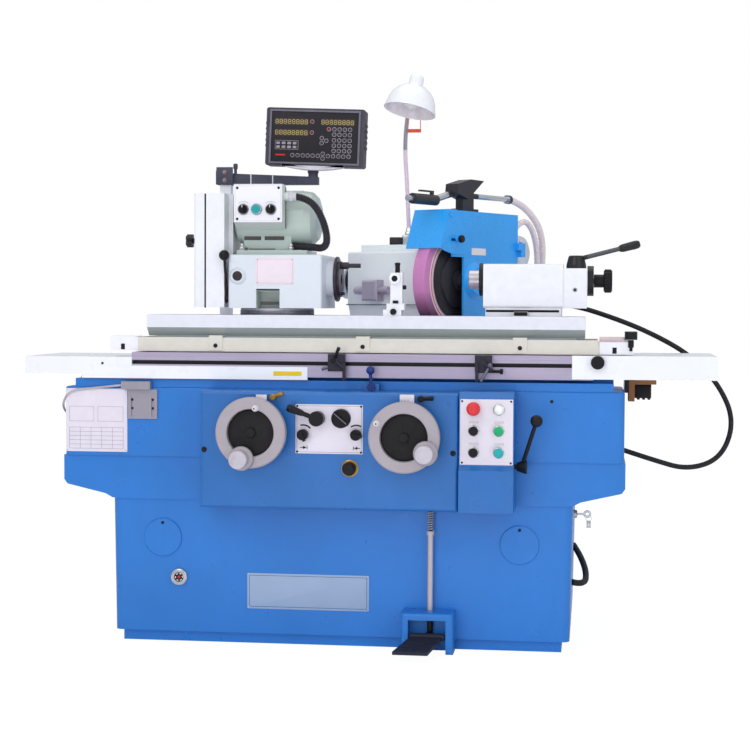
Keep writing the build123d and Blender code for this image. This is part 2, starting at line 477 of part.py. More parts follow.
# Dresser stand on the table's front edge
dx, dy = 165.0, SWIVEL_Y0 + 5
stand = bx(dx - 37, dx + 18, dy, dy + 60, TABLE_TOP, TABLE_TOP + 18)
stand += bx(dx - 27, dx + 27, dy + 4, dy + 56, TABLE_TOP + 17, TABLE_TOP + 37)
stand += bx(dx - 16, dx + 20, dy + 8, dy + 52, TABLE_TOP + 36, AXIS_Z + 18)
stand += rod_y(dy, dy + 9, dx - 2, AXIS_Z, 16) + rod_y(dy - 6, dy + 90, dx - 2, AXIS_Z, 9)
stand += rod_z(AXIS_Z + 17, AXIS_Z + 38, dx + 3, dy + 30, 7)
parts["dresser_stand"] = stand

# Workhead
base_z = TABLE_TOP + WH_BASE_H
base = rod_z(TABLE_TOP, base_z, WH_X, AXIS_Y, WH_BASE_R)
base = chamfer(base.edges().group_by(Axis.Z)[-1], 3)
parts["swivel_table"] = swivel + base + rod_z(base_z - 1, base_z + 30, WH_X, AXIS_Y, 20)

body = bx(WH_X0, WH_X1, WH_Y0, WH_Y1, base_z, WH_Z1)
body = fillet(upright(body), 10)
body = fillet(body.faces().sort_by(Axis.Z)[-1].edges(), 6)
body -= rod_z(base_z - 1, base_z + 32, WH_X, AXIS_Y, 20 + FIT)
body -= bx(WH_X - 42, WH_X + 31, WH_Y0 - 1, WH_Y0 + 70, base_z - 1, base_z + 59)
body += rod_x(WH_X1 - 1, WH_X1 + NOSE_L, AXIS_Y, AXIS_Z, 56)
body -= rod_x(WH_X0 - 1, WH_X1 + NOSE_L + 1, AXIS_Y, AXIS_Z, WS_R + FIT)
LEV_Y = WH_Y0 + 30
body -= rod_x(WH_X0 - 1, WH_X0 + 40, LEV_Y, base_z + 30, 7 + FIT)
parts["workhead_body"] = body

lever = rod_x(WH_X0 - 12, WH_X0 + 38, LEV_Y, base_z + 30, 7)
lever += rod_x(WH_X0 - 13, WH_X0 - 1, LEV_Y, base_z + 30, 14)
lever += prism_x([(LEV_Y - 8, base_z + 30), (LEV_Y + 8, base_z + 30), (LEV_Y - 34, base_z + 152),
                  (LEV_Y - 44, base_z + 150)], WH_X0 - 12, WH_X0 - 6)
lever += Pos(WH_X0 - 10, LEV_Y - 40, base_z + 161) * Sphere(16)
LEVER_ROOM = LEV_Y + 44
parts["workhead_lever"] = lever

cover = bx(BELT_X0, WH_X0, LEVER_ROOM, AXIS_Y + 115, base_z + 2, BELT_Z1)
cover += bx(BELT_X0, WH_X0 - 14, WH_Y0 + 10, LEVER_ROOM + 1, base_z + 2, BELT_Z1)
cover = fillet([e for e in upright(cover) if e.center().X < BELT_X0 + 1], 8)
cover -= bx(BELT_X0 + 6, WH_X0 - 20, WH_Y0 + 16, AXIS_Y + 109, base_z + 8, BELT_Z1 - 6)
cover -= rod_x(WH_X0 - 21, WH_X0 + 1, AXIS_Y, AXIS_Z, WS_R + 6)
cover -= rod_x(WH_X0 - 21, WH_X0 + 1, AXIS_Y, MOTOR_Z, 20)
STAR_Y, STAR_Z = AXIS_Y - 85, WH_Z1 + 43
star = rod_x(BELT_X0 - 12, BELT_X0 + 1, STAR_Y, STAR_Z, 8)
for k in range(5):
    a = 2 * pi * k / 5
    star += rod_x(BELT_X0 - 30, BELT_X0 - 11, STAR_Y + 13 * cos(a), STAR_Z + 13 * sin(a), 8)
star += rod_x(BELT_X0 - 30, BELT_X0 - 11, STAR_Y, STAR_Z, 15)
parts["belt_cover"] = cover + star

M0, M1 = WH_X0 + 6, -130.0
motor = Pos(0, AXIS_Y, MOTOR_Z) * lathe_x([(M0, 0), (M0, MOTOR_R - 22), (M0 + 8, MOTOR_R - 8),
                                           (M0 + 22, MOTOR_R - 7),
                                           (M0 + 22, MOTOR_R), (M1, MOTOR_R), (M1 + 20, MOTOR_R - 4),
                                           (M1 + 36, MOTOR_R - 20), (M1 + 44, MOTOR_R - 45), (M1 + 46, 0)])
motor += bx(M0 + 30, M1 - 40, AXIS_Y - 62, AXIS_Y + 62, WH_Z1, MOTOR_Z - 40)
motor += bx(M0 + 14, M1 + 14, AXIS_Y - 95, AXIS_Y + 95, WH_Z1, WH_Z1 + 14)
CB_BACK = AXIS_Y - MOTOR_R - 6
motor += bx(M0 + 50, M0 + 130, CB_BACK, AXIS_Y - 40, MOTOR_Z - 14, MOTOR_Z + 40)
motor += rod_x(M0 - 64, M0 + 1, AXIS_Y, MOTOR_Z, 12) + rod_x(M0 - 70, M0 - 32, AXIS_Y, MOTOR_Z, 34)
motor += belt(M0 - 64, M0 - 38, (AXIS_Y, AXIS_Z), (AXIS_Y, MOTOR_Z), 48 + GAP, 34, 7)
parts["work_motor"] = motor

cb_front = CB_BACK - CB_DEEP
cbox = prism_x([(CB_BACK, CB_Z0 - 20), (cb_front, CB_Z0), (cb_front, CB_Z1), (CB_BACK, CB_Z1)], CB_X0, CB_X1)
cbox += rod_x(CB_X1 - 1, CB_X1 + 16, CB_BACK - 30, CB_Z1 - 36, 13)
SELECT = {"selector_left": -302.0, "jog_button": -261.0, "selector_right": -217.0}
for x in SELECT.values():
    cbox -= rod_y(cb_front - 1, cb_front + 34, x, SELECT_Z, 8 + FIT)
parts["work_control_box"] = cbox
for name, x in SELECT.items():
    y = cb_front
    if name == "jog_button":
        knob = rod_y(y - 16, y - 8, x, SELECT_Z, 13) + rod_y(y - 9, y + 20, x, SELECT_Z, 8)
    else:
        knob = rod_y(y - 10, y - GAP, x, SELECT_Z, 14)
        knob += bx(x - 4, x + 4, y - 22, y - 9, SELECT_Z - 13, SELECT_Z + 13)
        knob += rod_y(y - 1, y + 30, x, SELECT_Z, 8)
    parts[name] = knob

px0 = WH_X1 + NOSE_L + 2
spindle = rod_x(WH_X0 - 60, px0 + 1, AXIS_Y, AXIS_Z, WS_R)
spindle += rod_x(M0 - 70, M0 - 32, AXIS_Y, AXIS_Z, 48)
spindle += chamfer(rod_x(px0, px0 + PLATE_T - 8, AXIS_Y, AXIS_Z, PLATE_R).edges(), 2)
spindle += rod_x(px0 + PLATE_T - 9, px0 + PLATE_T, AXIS_Y, AXIS_Z, PLATE_R - 14)
spindle += rod_x(px0 + PLATE_T - 1, px0 + PLATE_T + 22, AXIS_Y, AXIS_Z + 42, 11)
spindle += rod_x(px0 + PLATE_T + 21, px0 + PLATE_T + 60, AXIS_Y, AXIS_Z + 42, 7)
spindle += rod_x(px0 + PLATE_T - 1, px0 + PLATE_T + 10, AXIS_Y, AXIS_Z - 45, 5)
spindle -= Pos(px0 + PLATE_T - 45, AXIS_Y, AXIS_Z) * Rot(0, 90, 0) * Cone(12, 15.7, 92)
parts["work_spindle"] = spindle

# Ribbed conduit beside the workhead motor, with its bore
c_y = CB_BACK - 30
c_top, c_low = CB_Z1 - 36, WH_Z1 + 18
c_mid = (c_top + c_low) / 2
conduit_pts = [(CB_X1 + 16, c_y, c_top), (CB_X1 + 74, c_y, c_top), (CB_X1 + 120, c_y + 20, c_mid + 10),
               (CB_X1 + 132, c_y + 40, c_low), (CB_X1 + 60, c_y + 64, c_low + 8),
               (M1 - 40, c_y + 66, c_low + 10)]
path = bend_path("work_conduit", conduit_pts)
RIB, CON_R = 5.2, 11.5
count = min(200, int(path.length / RIB))
rings = []
for k in range(count):
    for part, r in ((0.0, CON_R - 2.2), (0.22, CON_R), (0.62, CON_R), (0.84, CON_R - 2.2)):
        t = (k + part) / count
        rings.append(Plane(origin=path @ t, x_dir=(0, 1, 0), z_dir=path % t) * Circle(r))
rings.append(Plane(origin=path @ 1, x_dir=(0, 1, 0), z_dir=path % 1) * Circle(CON_R - 2.2))
conduit = loft(rings, ruled=True)
hole = sweep(Plane(origin=path @ 0, z_dir=path % 0) * Circle(CON_R - 4.2), path=path)
print("work_conduit ribs", count)
parts["work_conduit"] = conduit - hole - motor - cbox

# Tailstock
foot_z = TABLE_TOP + TS_FOOT
tail = bx(TS_X0 + 8, TS_X1 - 4, TS_Y0 + 8, TS_Y1 - 4, TABLE_TOP, foot_z + 1)
tail += fillet(bx(TS_X0, TS_X1, TS_Y0, TS_Y1, foot_z, TS_Z1).edges().filter_by(Axis.X), 10)
tail += bx(TS_X1 - 1, TS_X2, TS_Y0 + 6, TS_Y1 - 6, foot_z, TS_Z1 - TS_STEP)
tail += bx(TS_X0 + 95, TS_X0 + 137, TS_Y0 - 12, TS_Y0 + 9, TABLE_TOP, TABLE_TOP + 14)
tail += rod_x(TS_X0 - 8, TS_X0 + 1, AXIS_Y, AXIS_Z, 50)
tail += rod_x(TS_X2 - 1, TS_X2 + 20, AXIS_Y, AXIS_Z - 3, 46)
tail -= rod_x(TS_X0 - 9, TS_X2 - 6, AXIS_Y, AXIS_Z, QUILL_R + FIT)
PIN_Y = AXIS_Y - QUILL_R - PINION_R - GAP
tail -= rod_z(AXIS_Z - 26, TS_Z1 + 1, LEVER_X, PIN_Y, PINION_R + GAP)
tail -= bx(LEVER_X - 12, LEVER_X + 12, PIN_Y + 5, AXIS_Y - QUILL_R + 4, AXIS_Z - 16, AXIS_Z + 16)
tail -= rod_x(TS_X2 - 7, TS_X2 + 21, AXIS_Y, AXIS_Z - 3, 9 + FIT)
parts["tailstock_body"] = tail

quill = rod_x(QUILL_X, TS_X2 - 34, AXIS_Y, AXIS_Z, QUILL_R)
quill = chamfer(quill.edges().group_by(Axis.X)[0], 2)
quill -= Pos(QUILL_X + 35, AXIS_Y, AXIS_Z) * Rot(0, -90, 0) * Cone(11, 14.5, 72)
parts["tail_quill"] = quill

arm_z = TS_Z1 + 6
lever = rod_z(AXIS_Z - 25, TS_Z1 + 4, LEVER_X, PIN_Y, PINION_R)
hub_z = TS_Z1 - TS_STEP + GAP
lever += Pos(LEVER_X, PIN_Y, 0) * lathe_z([(0, hub_z), (30, hub_z), (30, hub_z + 10), (24, TS_Z1 + 22), (21, TS_Z1 + 26),
                                           (0, TS_Z1 + 26)])
lever += bar((LEVER_X, PIN_Y, arm_z + 8), (LEVER_X + 135, PIN_Y - 10, arm_z + 42), 7)
lever += turned_bar((LEVER_X + 128, PIN_Y - 9.5, arm_z + 40), (LEVER_X + 191, PIN_Y - 14, arm_z + 56),
                    [(0, 0), (9, 0), (12, 10), (13, 48), (12, 58), (8, 64), (0, 65)])
parts["tail_lever"] = lever

kx = TS_X2 + 20
knob = rod_x(TS_X2 - 5, kx + 2, AXIS_Y, AXIS_Z - 3, 9)
knob += rod_x(kx + GAP, kx + 32, AXIS_Y, AXIS_Z - 3, 20)
knob += chamfer(rod_x(kx + 30, kx + 56, AXIS_Y, AXIS_Z - 3, 34).edges(), 3)
parts["tail_knob"] = knob

# Cross slide on the pedestal
slide = bx(PIV_X - 175, PIV_X + 190, PIV_Y - 130, PIV_Y + 205, PED_Z, SLIDE_Z)
slide = chamfer(upright(slide), 20)
slide -= bx(PIV_X - 20 - GAP, PIV_X + 20 + GAP, PIV_Y - 131, PIV_Y + 206, PED_Z - 1, PED_Z + 21)
slide += rod_z(SLIDE_Z - 1, SLIDE_Z + 24, PIV_X, PIV_Y, 30)
parts["cross_slide"] = slide

# Wheelhead pieces, made along the spindle and turned into place
place = Pos(PIV_X, PIV_Y, 0) * Rot(0, 0, -SWING)


def at_head(shape):
    return place * shape


head = rod_z(SLIDE_Z, SLIDE_Z + 21, 0, 0, 150)
head += prism_y([(HEAD_X0 + 18, SLIDE_Z + 20), (HEAD_X1, SLIDE_Z + 20), (HEAD_X1, TABLE_TOP + 30),
                 (HEAD_X0, TABLE_TOP + 30)], HEAD_Y0 + 12, HEAD_Y1)
top = fillet(upright(bx(HEAD_X0, HEAD_X1, HEAD_Y0, HEAD_Y1, TABLE_TOP + 29, HEAD_Z1)), 12)
top = fillet(top.faces().sort_by(Axis.Z)[-1].edges(), 8)
head += top
head += bx(HEAD_X0 + 20, HEAD_X1 - 10, HEAD_Y1 - 1, HEAD_Y2, SLIDE_Z + 30, WMOT_Z - WMOT_R - 14)
head += bx(HEAD_X0 + 45, HEAD_X1 - 4, HEAD_Y0 + 22, HEAD_Y1 - 22, HEAD_Z1 - 1, HEAD_Z1 + 22)
head -= rod_z(SLIDE_Z - 1, SLIDE_Z + 26, 0, 0, 30 + FIT)
head -= rod_x(HEAD_X0 - 1, HEAD_X1 + 1, SPIN_Y, AXIS_Z, SPIN_R + FIT)
parts["wheelhead_body"] = at_head(head)

nose = WHEEL_X + WHEEL_T / 2
back = WHEEL_X - WHEEL_T / 2
spin = rod_x(HEAD_X0 - 56, nose + 20, SPIN_Y, AXIS_Z, SPIN_R)
spin += rod_x(HEAD_X0 - 56, HEAD_X0 - 14, SPIN_Y, AXIS_Z, 52)
ring = [(back - 13, 0), (back - 13, FLANGE_R - 18), (back, FLANGE_R), (back, WHEEL_BORE), (nose, WHEEL_BORE),
        (nose, FLANGE_R), (nose + 3, FLANGE_R), (nose + 9, FLANGE_R - 18), (nose + 5, FLANGE_R - 22),
        (nose + 5, FLANGE_R - 34), (nose + 11, FLANGE_R - 38), (nose + 11, 0)]
spin += Pos(0, SPIN_Y, AXIS_Z) * lathe_x(ring)
spin += Pos(nose + 20, SPIN_Y, AXIS_Z) * Rot(0, 90, 0) * extrude(RegularPolygon(26, 6), 10)
parts["wheel_spindle"] = at_head(spin)

wheel = lathe_x([(back, WHEEL_BORE), (back, WHEEL_R - 1), (back + 1, WHEEL_R), (nose - 1, WHEEL_R),
                 (nose, WHEEL_R - 1),
                 (nose, WHEEL_BORE)])
parts["grinding_wheel"] = at_head(Pos(0, SPIN_Y, AXIS_Z) * wheel)

g0, g1 = WHEEL_X + GUARD_W0, WHEEL_X + GUARD_W1
d0, d1 = SPIN_Y + GUARD_D0, SPIN_Y + GUARD_D1
CHEEK = 96.0            # depth of the fixed cheek under the hood
guard = bx(g0, g1 - 7, d0, d1, GUARD_Z0, GUARD_Z1)
guard -= bx(g0 + 6, g1, d0 - 1, d1 - 6, GUARD_Z0 + 5, GUARD_Z1 - 6)
guard += bx(g0, g1, d0 - 28, d0 + 1, GUARD_Z1 - 6, GUARD_Z1)
guard += bx(g1 - 7, g1, d0 - 12, d0 + CHEEK, GUARD_Z1 - 148, GUARD_Z1)
guard += rod_x(HEAD_X1, g0 + 1, SPIN_Y, AXIS_Z, 80)
guard -= rod_x(HEAD_X1 - 1, g0 + 7, SPIN_Y, AXIS_Z, SPIN_R + 10)
HINGE_X, HINGE_Y = g1 + 4, d1 + 13
for z in (GUARD_Z0 + 60, GUARD_Z1 - 140):
    guard += bx(g1 - 26, g1 - 7, d1 - 1, d1 + 26, z, z + 22)
    guard += bx(g1 - 8, g1 + 14, d1 + 1, d1 + 26, z, z + 22)
    guard += rod_z(z, z + 50, HINGE_X, HINGE_Y, 6)
parts["wheel_guard"] = at_head(guard)

door = bx(g1 - 7 + GAP, g1, d0 + 50, d1, GUARD_Z0, GUARD_Z1)
door -= bx(g1 - 8, g1 + 1, d0 - 1, d0 + CHEEK + GAP, GUARD_Z1 - 148 - GAP, GUARD_Z1 + 1)
door += Pos(g1 - 1, SPIN_Y + 50, AXIS_Z) * Rot(0, 90, 0) * Pos(0, 0, 9) * Cone(62, 44, 18)
for z in (GUARD_Z0 + 60, GUARD_Z1 - 140):
    door += bx(g1 - 1, g1 + 14, d1 - 16, d1 + 26, z + 22 + GAP, z + 46)
    door -= rod_z(z + 20, z + 48, HINGE_X, HINGE_Y, 6 + FIT)
parts["guard_door"] = at_head(door)

HOOD_D, HOOD_Z = d0 - 30, GUARD_Z1 - 16
cheek = [(d0 - 38, GUARD_Z1 + 2), (d0 + 2, GUARD_Z1 + 2), (d0 + 30, GUARD_Z1 - 30), (d0 + 92, GUARD_Z1 - 104),
         (d0 + 88, GUARD_Z1 - 120), (d0 + 66, GUARD_Z1 - 134), (d0 + 30, GUARD_Z1 - 141),
         (d0 - 20, GUARD_Z1 - 139), (d0 - 60, GUARD_Z1 - 131), (d0 - 86, GUARD_Z1 - 122)]
inner = [(d0 - 38, GUARD_Z1 + 2), (d0 + 2, GUARD_Z1 + 2), (d0 + 30, GUARD_Z1 - 30), (d0 + 60, GUARD_Z1 - 90),
         (d0 + 30, GUARD_Z1 - 106), (d0 - 20, GUARD_Z1 - 116), (d0 - 86, GUARD_Z1 - 122)]
hood = prism_x(cheek, g1 + GAP, g1 + 4) + prism_x(inner, g0 - 4, g0 - GAP)
hood += prism_x([(d0 - 38, GUARD_Z1 + 2), (d0 - 86, GUARD_Z1 - 122), (d0 - 82, GUARD_Z1 - 123.5),
                 (d0 - 36.5, GUARD_Z1 - 6), (d0 - 36.5, GUARD_Z1 + 2)], g0 - 4, g1 + 4)
hood += rod_x(g1 + 3, g1 + 9, HOOD_D, HOOD_Z, 7)
hood += rod_x(g1 + 3, g1 + 20, d0 + 4, GUARD_Z1 - 92, 9)
parts["guard_hood"] = at_head(hood)

# Wheel drive: motor on the rear shelf, pulley and belt
md = SPIN_Y + WMOT_D
mx0, mx1 = HEAD_X0 + 24, WHEEL_X + 25
drive = Pos(0, md, WMOT_Z) * lathe_x([(mx0, 0), (mx0, WMOT_R - 14), (mx0 + 14, WMOT_R), (mx1 - 40, WMOT_R),
                                      (mx1 - 14, WMOT_R - 8), (mx1 - 2, WMOT_R - 26), (mx1, 0)])
drive += bx(mx0 + 20, HEAD_X1 - 20, md - 55, md + 55, WMOT_Z - WMOT_R - 14, WMOT_Z - WMOT_R + 20)
drive += rod_x(HEAD_X0 - 56, mx0 + 1, md, WMOT_Z, 14) + rod_x(HEAD_X0 - 56, HEAD_X0 - 14, md, WMOT_Z, 42)
drive += belt(HEAD_X0 - 50, HEAD_X0 - 20, (SPIN_Y, AXIS_Z), (md, WMOT_Z), 52 + GAP, 42, 8)
parts["wheel_drive"] = at_head(drive)

# Coolant: clamp block, pipe, cock, nozzle and union; hoses between them
pz = AXIS_Z + 259
wx = WHEEL_X
pipe_end = SPIN_Y + 340
rear_z = pz + 20
pipes = bx(wx - 22, wx + 22, SPIN_Y + 36, SPIN_Y + 130, GUARD_Z1, GUARD_Z1 + 12)
pipes += bx(wx - 14, wx + 14, SPIN_Y + 50, SPIN_Y + 114, GUARD_Z1 + 11, pz + 40)
pipes += prism_x([(SPIN_Y + 2, pz + 53), (SPIN_Y - 2, pz + 22), (SPIN_Y + 60, pz + 6), (SPIN_Y + 150, pz + 70),
                  (SPIN_Y + 75, pz + 71)], wx - 20, wx + 30)
pipes += rod_y(SPIN_Y + 100, pipe_end, wx, rear_z, 9)
pipes += rod_y(pipe_end - 8, pipe_end + 10, wx, rear_z, 15)
pipes += bar((wx, SPIN_Y + 20, pz + 26), (wx, SPIN_Y - 100, pz - 4), 11)
pipes += rod_y(SPIN_Y - 210, SPIN_Y - 82, wx, pz - 4, 17) + rod_y(SPIN_Y - 236, SPIN_Y - 205, wx, pz - 4, 9)
pipes += bx(wx - 6, wx + 6, SPIN_Y - 170, SPIN_Y - 100, pz + 20, pz + 25)
pipes += rod_z(pz, pz + 24, wx, SPIN_Y - 104, 7)
UZ = GUARD_Z0 + 70
union_y = SPIN_Y + 500
pipes += bx(wx - 35, wx + 35, d1, union_y, UZ, UZ + 22)
pipes += bx(wx - 35, wx + 70, d1 + 70, union_y + 40, UZ, UZ + 22)
parts["coolant_pipes"] = at_head(pipes)
hose1 = [(wx, pipe_end + 10, rear_z), (wx + 6, pipe_end + 58, rear_z - 8),
         (wx + 22, pipe_end + 122, rear_z - 48), (wx + 30, union_y + 14, rear_z - 112),
         (wx + 32, union_y + 16, rear_z - 210), (wx + 30, union_y, UZ + 22)]
h2 = wx + 45
hose2 = [(h2, d1 + 1.5, AXIS_Z + 173), (h2, d1 + 50, AXIS_Z + 210), (h2, d1 + 108, AXIS_Z + 196),
         (h2, d1 + 150, AXIS_Z + 128), (h2, d1 + 156, AXIS_Z + 20), (h2, d1 + 150, UZ + 22)]
hoses = tube("hose one", hose1, 11.5, 8.5) + tube("hose two", hose2, 10, 7.5)
parts["coolant_hoses"] = at_head(hoses - pipes - guard)

# Work lamp on the wheelhead's cover and the steel block on the head's front
LX, LY = 150.0, 110.0
lz = HEAD_Z1 + 22
lamp = bx(LX - 62, LX - 20, LY - 24, LY + 24, lz, lz + 26) + bx(LX - 21, LX + 12, LY - 18, LY + 18, lz, lz + 34)
lamp += rod_z(lz + 33, lz + 48, LX, LY, 12)
top = lz + LAMP_H
neck = [(LX, LY, lz + 40), (LX - 6, LY, lz + 0.33 * LAMP_H), (LX - 18, LY + 14, lz + 0.575 * LAMP_H),
        (LX - 12, LY + 60, top - 124), (LX + 4, LY + 70, top - 50), (LX + 18, LY + 20, top - 22),
        (LX + 28, LY - 36, top - 36)]
lamp += tube("gooseneck", neck, 7)
shade = lathe_z([(0, 0), (22, -2), (26, -34), (48, -46), (74, -76), (86, -122), (84, -122), (72, -78),
                 (46.5, -48), (20, -37), (0, -37)])
lamp += Pos(LX + 30, LY - 40, top - 22) * Rot(-11, 11, 0) * shade
parts["work_lamp"] = lamp

blk_x, blk_z = -20.0, AXIS_Z - 32
block = bx(blk_x - 30, blk_x + 34, HEAD_Y0 - 40, HEAD_Y0, blk_z - 34, blk_z + 34)
block = chamfer(block.faces().sort_by(Axis.Y)[0].edges(), 6)
block += rod_x(blk_x - 66, blk_x + 70, HEAD_Y0 - 20, blk_z, 13)
parts["internal_spindle"] = at_head(block)

# Readout post, arm and console
post = bx(POST_X - 60, POST_X + 60, BED_REAR, BED_REAR + 8, LEDGE_Z - 180, LEDGE_Z - 10)
post += bx(POST_X - 18, POST_X + 18, BED_REAR + 7, POST_Y + 18, LEDGE_Z - 170, ARM_Z0 - GAP)
post += rod_z(ARM_Z0 - 2, ARM_Z1 + 12, POST_X, POST_Y, 10)
parts["readout_post"] = post
arm = rod_z(ARM_Z0, ARM_Z1, POST_X, POST_Y, 26) + rod_z(ARM_Z0, ARM_Z1, CONSOLE_PIN, POST_Y, 16)
arm += prism_y([(POST_X, ARM_Z0), (CONSOLE_PIN + 18, ARM_Z0), (CONSOLE_PIN + 18, ARM_Z1 - 13),
                (POST_X, ARM_Z1)], POST_Y - 15, POST_Y + 15)
arm -= rod_z(ARM_Z0 - 1, ARM_Z1 + 1, POST_X, POST_Y, 10 + FIT)
arm += rod_z(ARM_Z1 - 1, CONSOLE_Z0 + 20, CONSOLE_PIN, POST_Y, 8)
parts["readout_arm"] = arm
console = bx(CONSOLE_X0, CONSOLE_X1, POST_Y - 48, POST_Y + 16, CONSOLE_Z0, CONSOLE_Z1)
console = fillet(console.edges().filter_by(Axis.Y), 8)
mid = Pos((CONSOLE_X0 + CONSOLE_X1) / 2, 0, (CONSOLE_Z0 + CONSOLE_Z1) / 2)
console = mid * Rot(0, CONSOLE_ROLL, 0) * mid.inverse() * console
console += rod_z(ARM_Z1 + GAP, CONSOLE_Z0 + 4, CONSOLE_PIN, POST_Y, 18)
console -= rod_z(ARM_Z1, CONSOLE_Z0 + 22, CONSOLE_PIN, POST_Y, 8 + FIT)
parts["readout_console"] = console

# Table scale reader on the bed's front, and its lead
rx = -606.0
reader = bx(rx - 46, rx + 46, BED_FRONT - 6, BED_FRONT, LEDGE_Z - 97, LEDGE_Z - 7)
for x in (rx - 32, rx + 32):
    reader -= bx(x - 4, x + 4, BED_FRONT - 7, BED_FRONT - 2, LEDGE_Z - 90, LEDGE_Z - 32)
reader += bx(rx - 62, rx + 29, BED_FRONT - 24, BED_FRONT, LEDGE_Z - 7, LEDGE_Z + 18)
parts["scale_reader"] = reader
ly = BED_FRONT - 4
lead = [(rx - 62, ly - 6, LEDGE_Z + 6), (rx - 150, ly, LEDGE_Z - 4), (-BED_HALF + 18, ly, LEDGE_Z - 12),
        (-BED_HALF - 8, ly + 4, LEDGE_Z - 52), (-BED_HALF - 9, ly + 40, LEDGE_Z - 84),
        (-BED_HALF, ly + 76, LEDGE_Z - 94)]
parts["reader_lead"] = tube("reader lead", lead, 3.5) - bed - reader

# Conduits on the bed's right end
rise = BED_TOP
big = [(600, BED_REAR, rise - 118), (600, 55, rise - 118), (600, 55, rise + 72), (615, 30, rise + 232),
       (700, 20, rise + 232), (865, 10, rise + 177), (975, 0, rise + 127), (1060, -5, rise + 77),
       (1150, -10, rise - 8), (1205, -30, rise - 128), (1165, -50, rise - 248),
       (1060, -65, rise - 286), (950, -80, rise - 255),
       (BED_HALF, -90, rise - 223)]
loop = [(TRUNK_TOP - 3, 120, 250), (722, 80, 226), (745, 0, 180), (740, -80, 150),
        (TRUNK_TOP - 5, -110, 164)]
parts["conduits"] = tube("rear conduit", big, 8, 5) + tube("side conduit", loop, 10, 7) - bed

os.makedirs("parts", exist_ok=True)
for name, shape in parts.items():
    export_step(shape, f"parts/{name}.step")
print(len(parts), "parts")
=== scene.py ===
from math import cos, pi, radians, sin

import bpy
from mathutils import Matrix, Vector


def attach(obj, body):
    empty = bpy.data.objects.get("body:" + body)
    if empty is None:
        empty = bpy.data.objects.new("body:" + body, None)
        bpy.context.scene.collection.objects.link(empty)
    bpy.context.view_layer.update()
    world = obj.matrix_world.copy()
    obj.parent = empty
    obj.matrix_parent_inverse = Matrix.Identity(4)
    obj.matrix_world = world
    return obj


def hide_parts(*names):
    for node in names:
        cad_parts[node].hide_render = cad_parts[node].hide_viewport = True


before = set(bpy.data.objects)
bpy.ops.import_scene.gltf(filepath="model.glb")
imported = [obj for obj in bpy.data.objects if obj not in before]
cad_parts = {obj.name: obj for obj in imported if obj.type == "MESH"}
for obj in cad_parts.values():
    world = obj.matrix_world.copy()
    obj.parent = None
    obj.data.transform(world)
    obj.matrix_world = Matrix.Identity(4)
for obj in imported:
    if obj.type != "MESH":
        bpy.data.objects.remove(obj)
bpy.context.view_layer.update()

bl_info = {
    "name": "Cylindrical grinder looks",
    "version": (1, 0, 0),
    "blender": (4, 5, 0),
    "location": "3D View > Sidebar > Grinder",
    "description": "Paints and trims a cylindrical grinder: enamel, ground steel, plates, controls, hoses and readout",
    "category": "Object",
}

MM = 0.001
AXES = {"X": ((1, 0, 0), (0, 0, 1)), "Y": ((0, 1, 0), (1, 0, 0)), "Z": ((0, 0, 1), (1, 0, 0))}  # axis, way across it
ALONG, UP = (1, 0, 0), (0, 0, 1)
HEAD_AT, HEAD_TURN = (0.127, 0.166, 0), radians(-30)  # the wheelhead's pivot, and its turn at rest
HEAD = Matrix.Translation(HEAD_AT) @ Matrix.Rotation(HEAD_TURN, 4, "Z")
SOFT, ROUND = 0.6, 0.9  # edges flatter than this angle are shaded smooth

# Faces and centres of the CAD model that the trim sits on, in mm
APRON = -575.0          # front of the apron
BED_FACE = -437.0       # front of the bed's upper half
TRUNK_FACE = -425.0     # front of the bed's trunk
PANEL = -400            # front of the workhead's control box
WORK_FACE = -375        # front of the workhead
GUARD_SIDE = 293.5      # side of the wheel guard, along the grinding spindle
AXIS_Y, AXIS_Z = -245, 1117            # line of centres
HAND_Y = -637                          # front of the handwheels' hubs
LEFT_WHEEL, RIGHT_WHEEL = (-228, 664), (221, 656)
SELECT_Z, SELECT_L, SELECT_R, JOG_X = 1326, -302, -217, -261
BUTTON_X, BUTTON_Z = (417, 490), (674, 611)
WORK_X = -225                          # pivot of the workhead


def srgb(r, g, b):
    """A colour given as 0 to 255 on screen, as the shader's linear colour."""
    return tuple((c / 255 / 12.92) if c <= 10 else ((c / 255 + 0.055) / 1.055) ** 2.4 for c in (r, g, b)) + (1.0,)


def linear(c):
    return srgb(*c) if isinstance(c, tuple) and len(c) == 3 else c


def shade(c, k):
    """A colour made lighter or darker."""
    return tuple(min(1.0, v * k) for v in c[:3]) + (1.0,)


def tint(name, rgb, words):
    return bpy.props.FloatVectorProperty(name=name, description=words, subtype="COLOR", size=4, min=0, max=1,
                                         default=srgb(*rgb))


def length(name, mm, words):
    return bpy.props.FloatProperty(name=name, description=words, default=mm * MM, min=0, unit="LENGTH")


class GrinderColours(bpy.types.PropertyGroup):
    """Paints and finishes that a user would change."""
    bed: tint("Bed enamel", (31, 115, 198), "Blue of the bed, apron and electrical box")
    guard: tint("Guard enamel", (44, 164, 246), "Brighter blue of the wheel guard")
    head: tint("Head enamel", (217, 223, 232), "Pale grey of the workhead and cross slide")
    motor: tint("Motor enamel", (182, 196, 190), "Grey-green of the workhead motor")
    white: tint("White enamel", (237, 238, 244), "White of the tailstock and way covers")
    cream: tint("Table enamel", (226, 227, 237), "Off-white of the swivel table")
    tray: tint("Trough enamel", (216, 212, 202), "Warm grey of the trough")
    steel: tint("Table steel", (200, 188, 212), "Bare ground strip of the lower table")
    black: tint("Black", (20, 19, 23), "Black knobs, levers and dogs")
    wheel: tint("Wheel grit", (214, 140, 196), "Bonded abrasive")
    console: tint("Console shell", (74, 70, 80), "Moulded shell of the readout")
    hose: tint("Hose", (248, 232, 236), "Clear coolant hose")


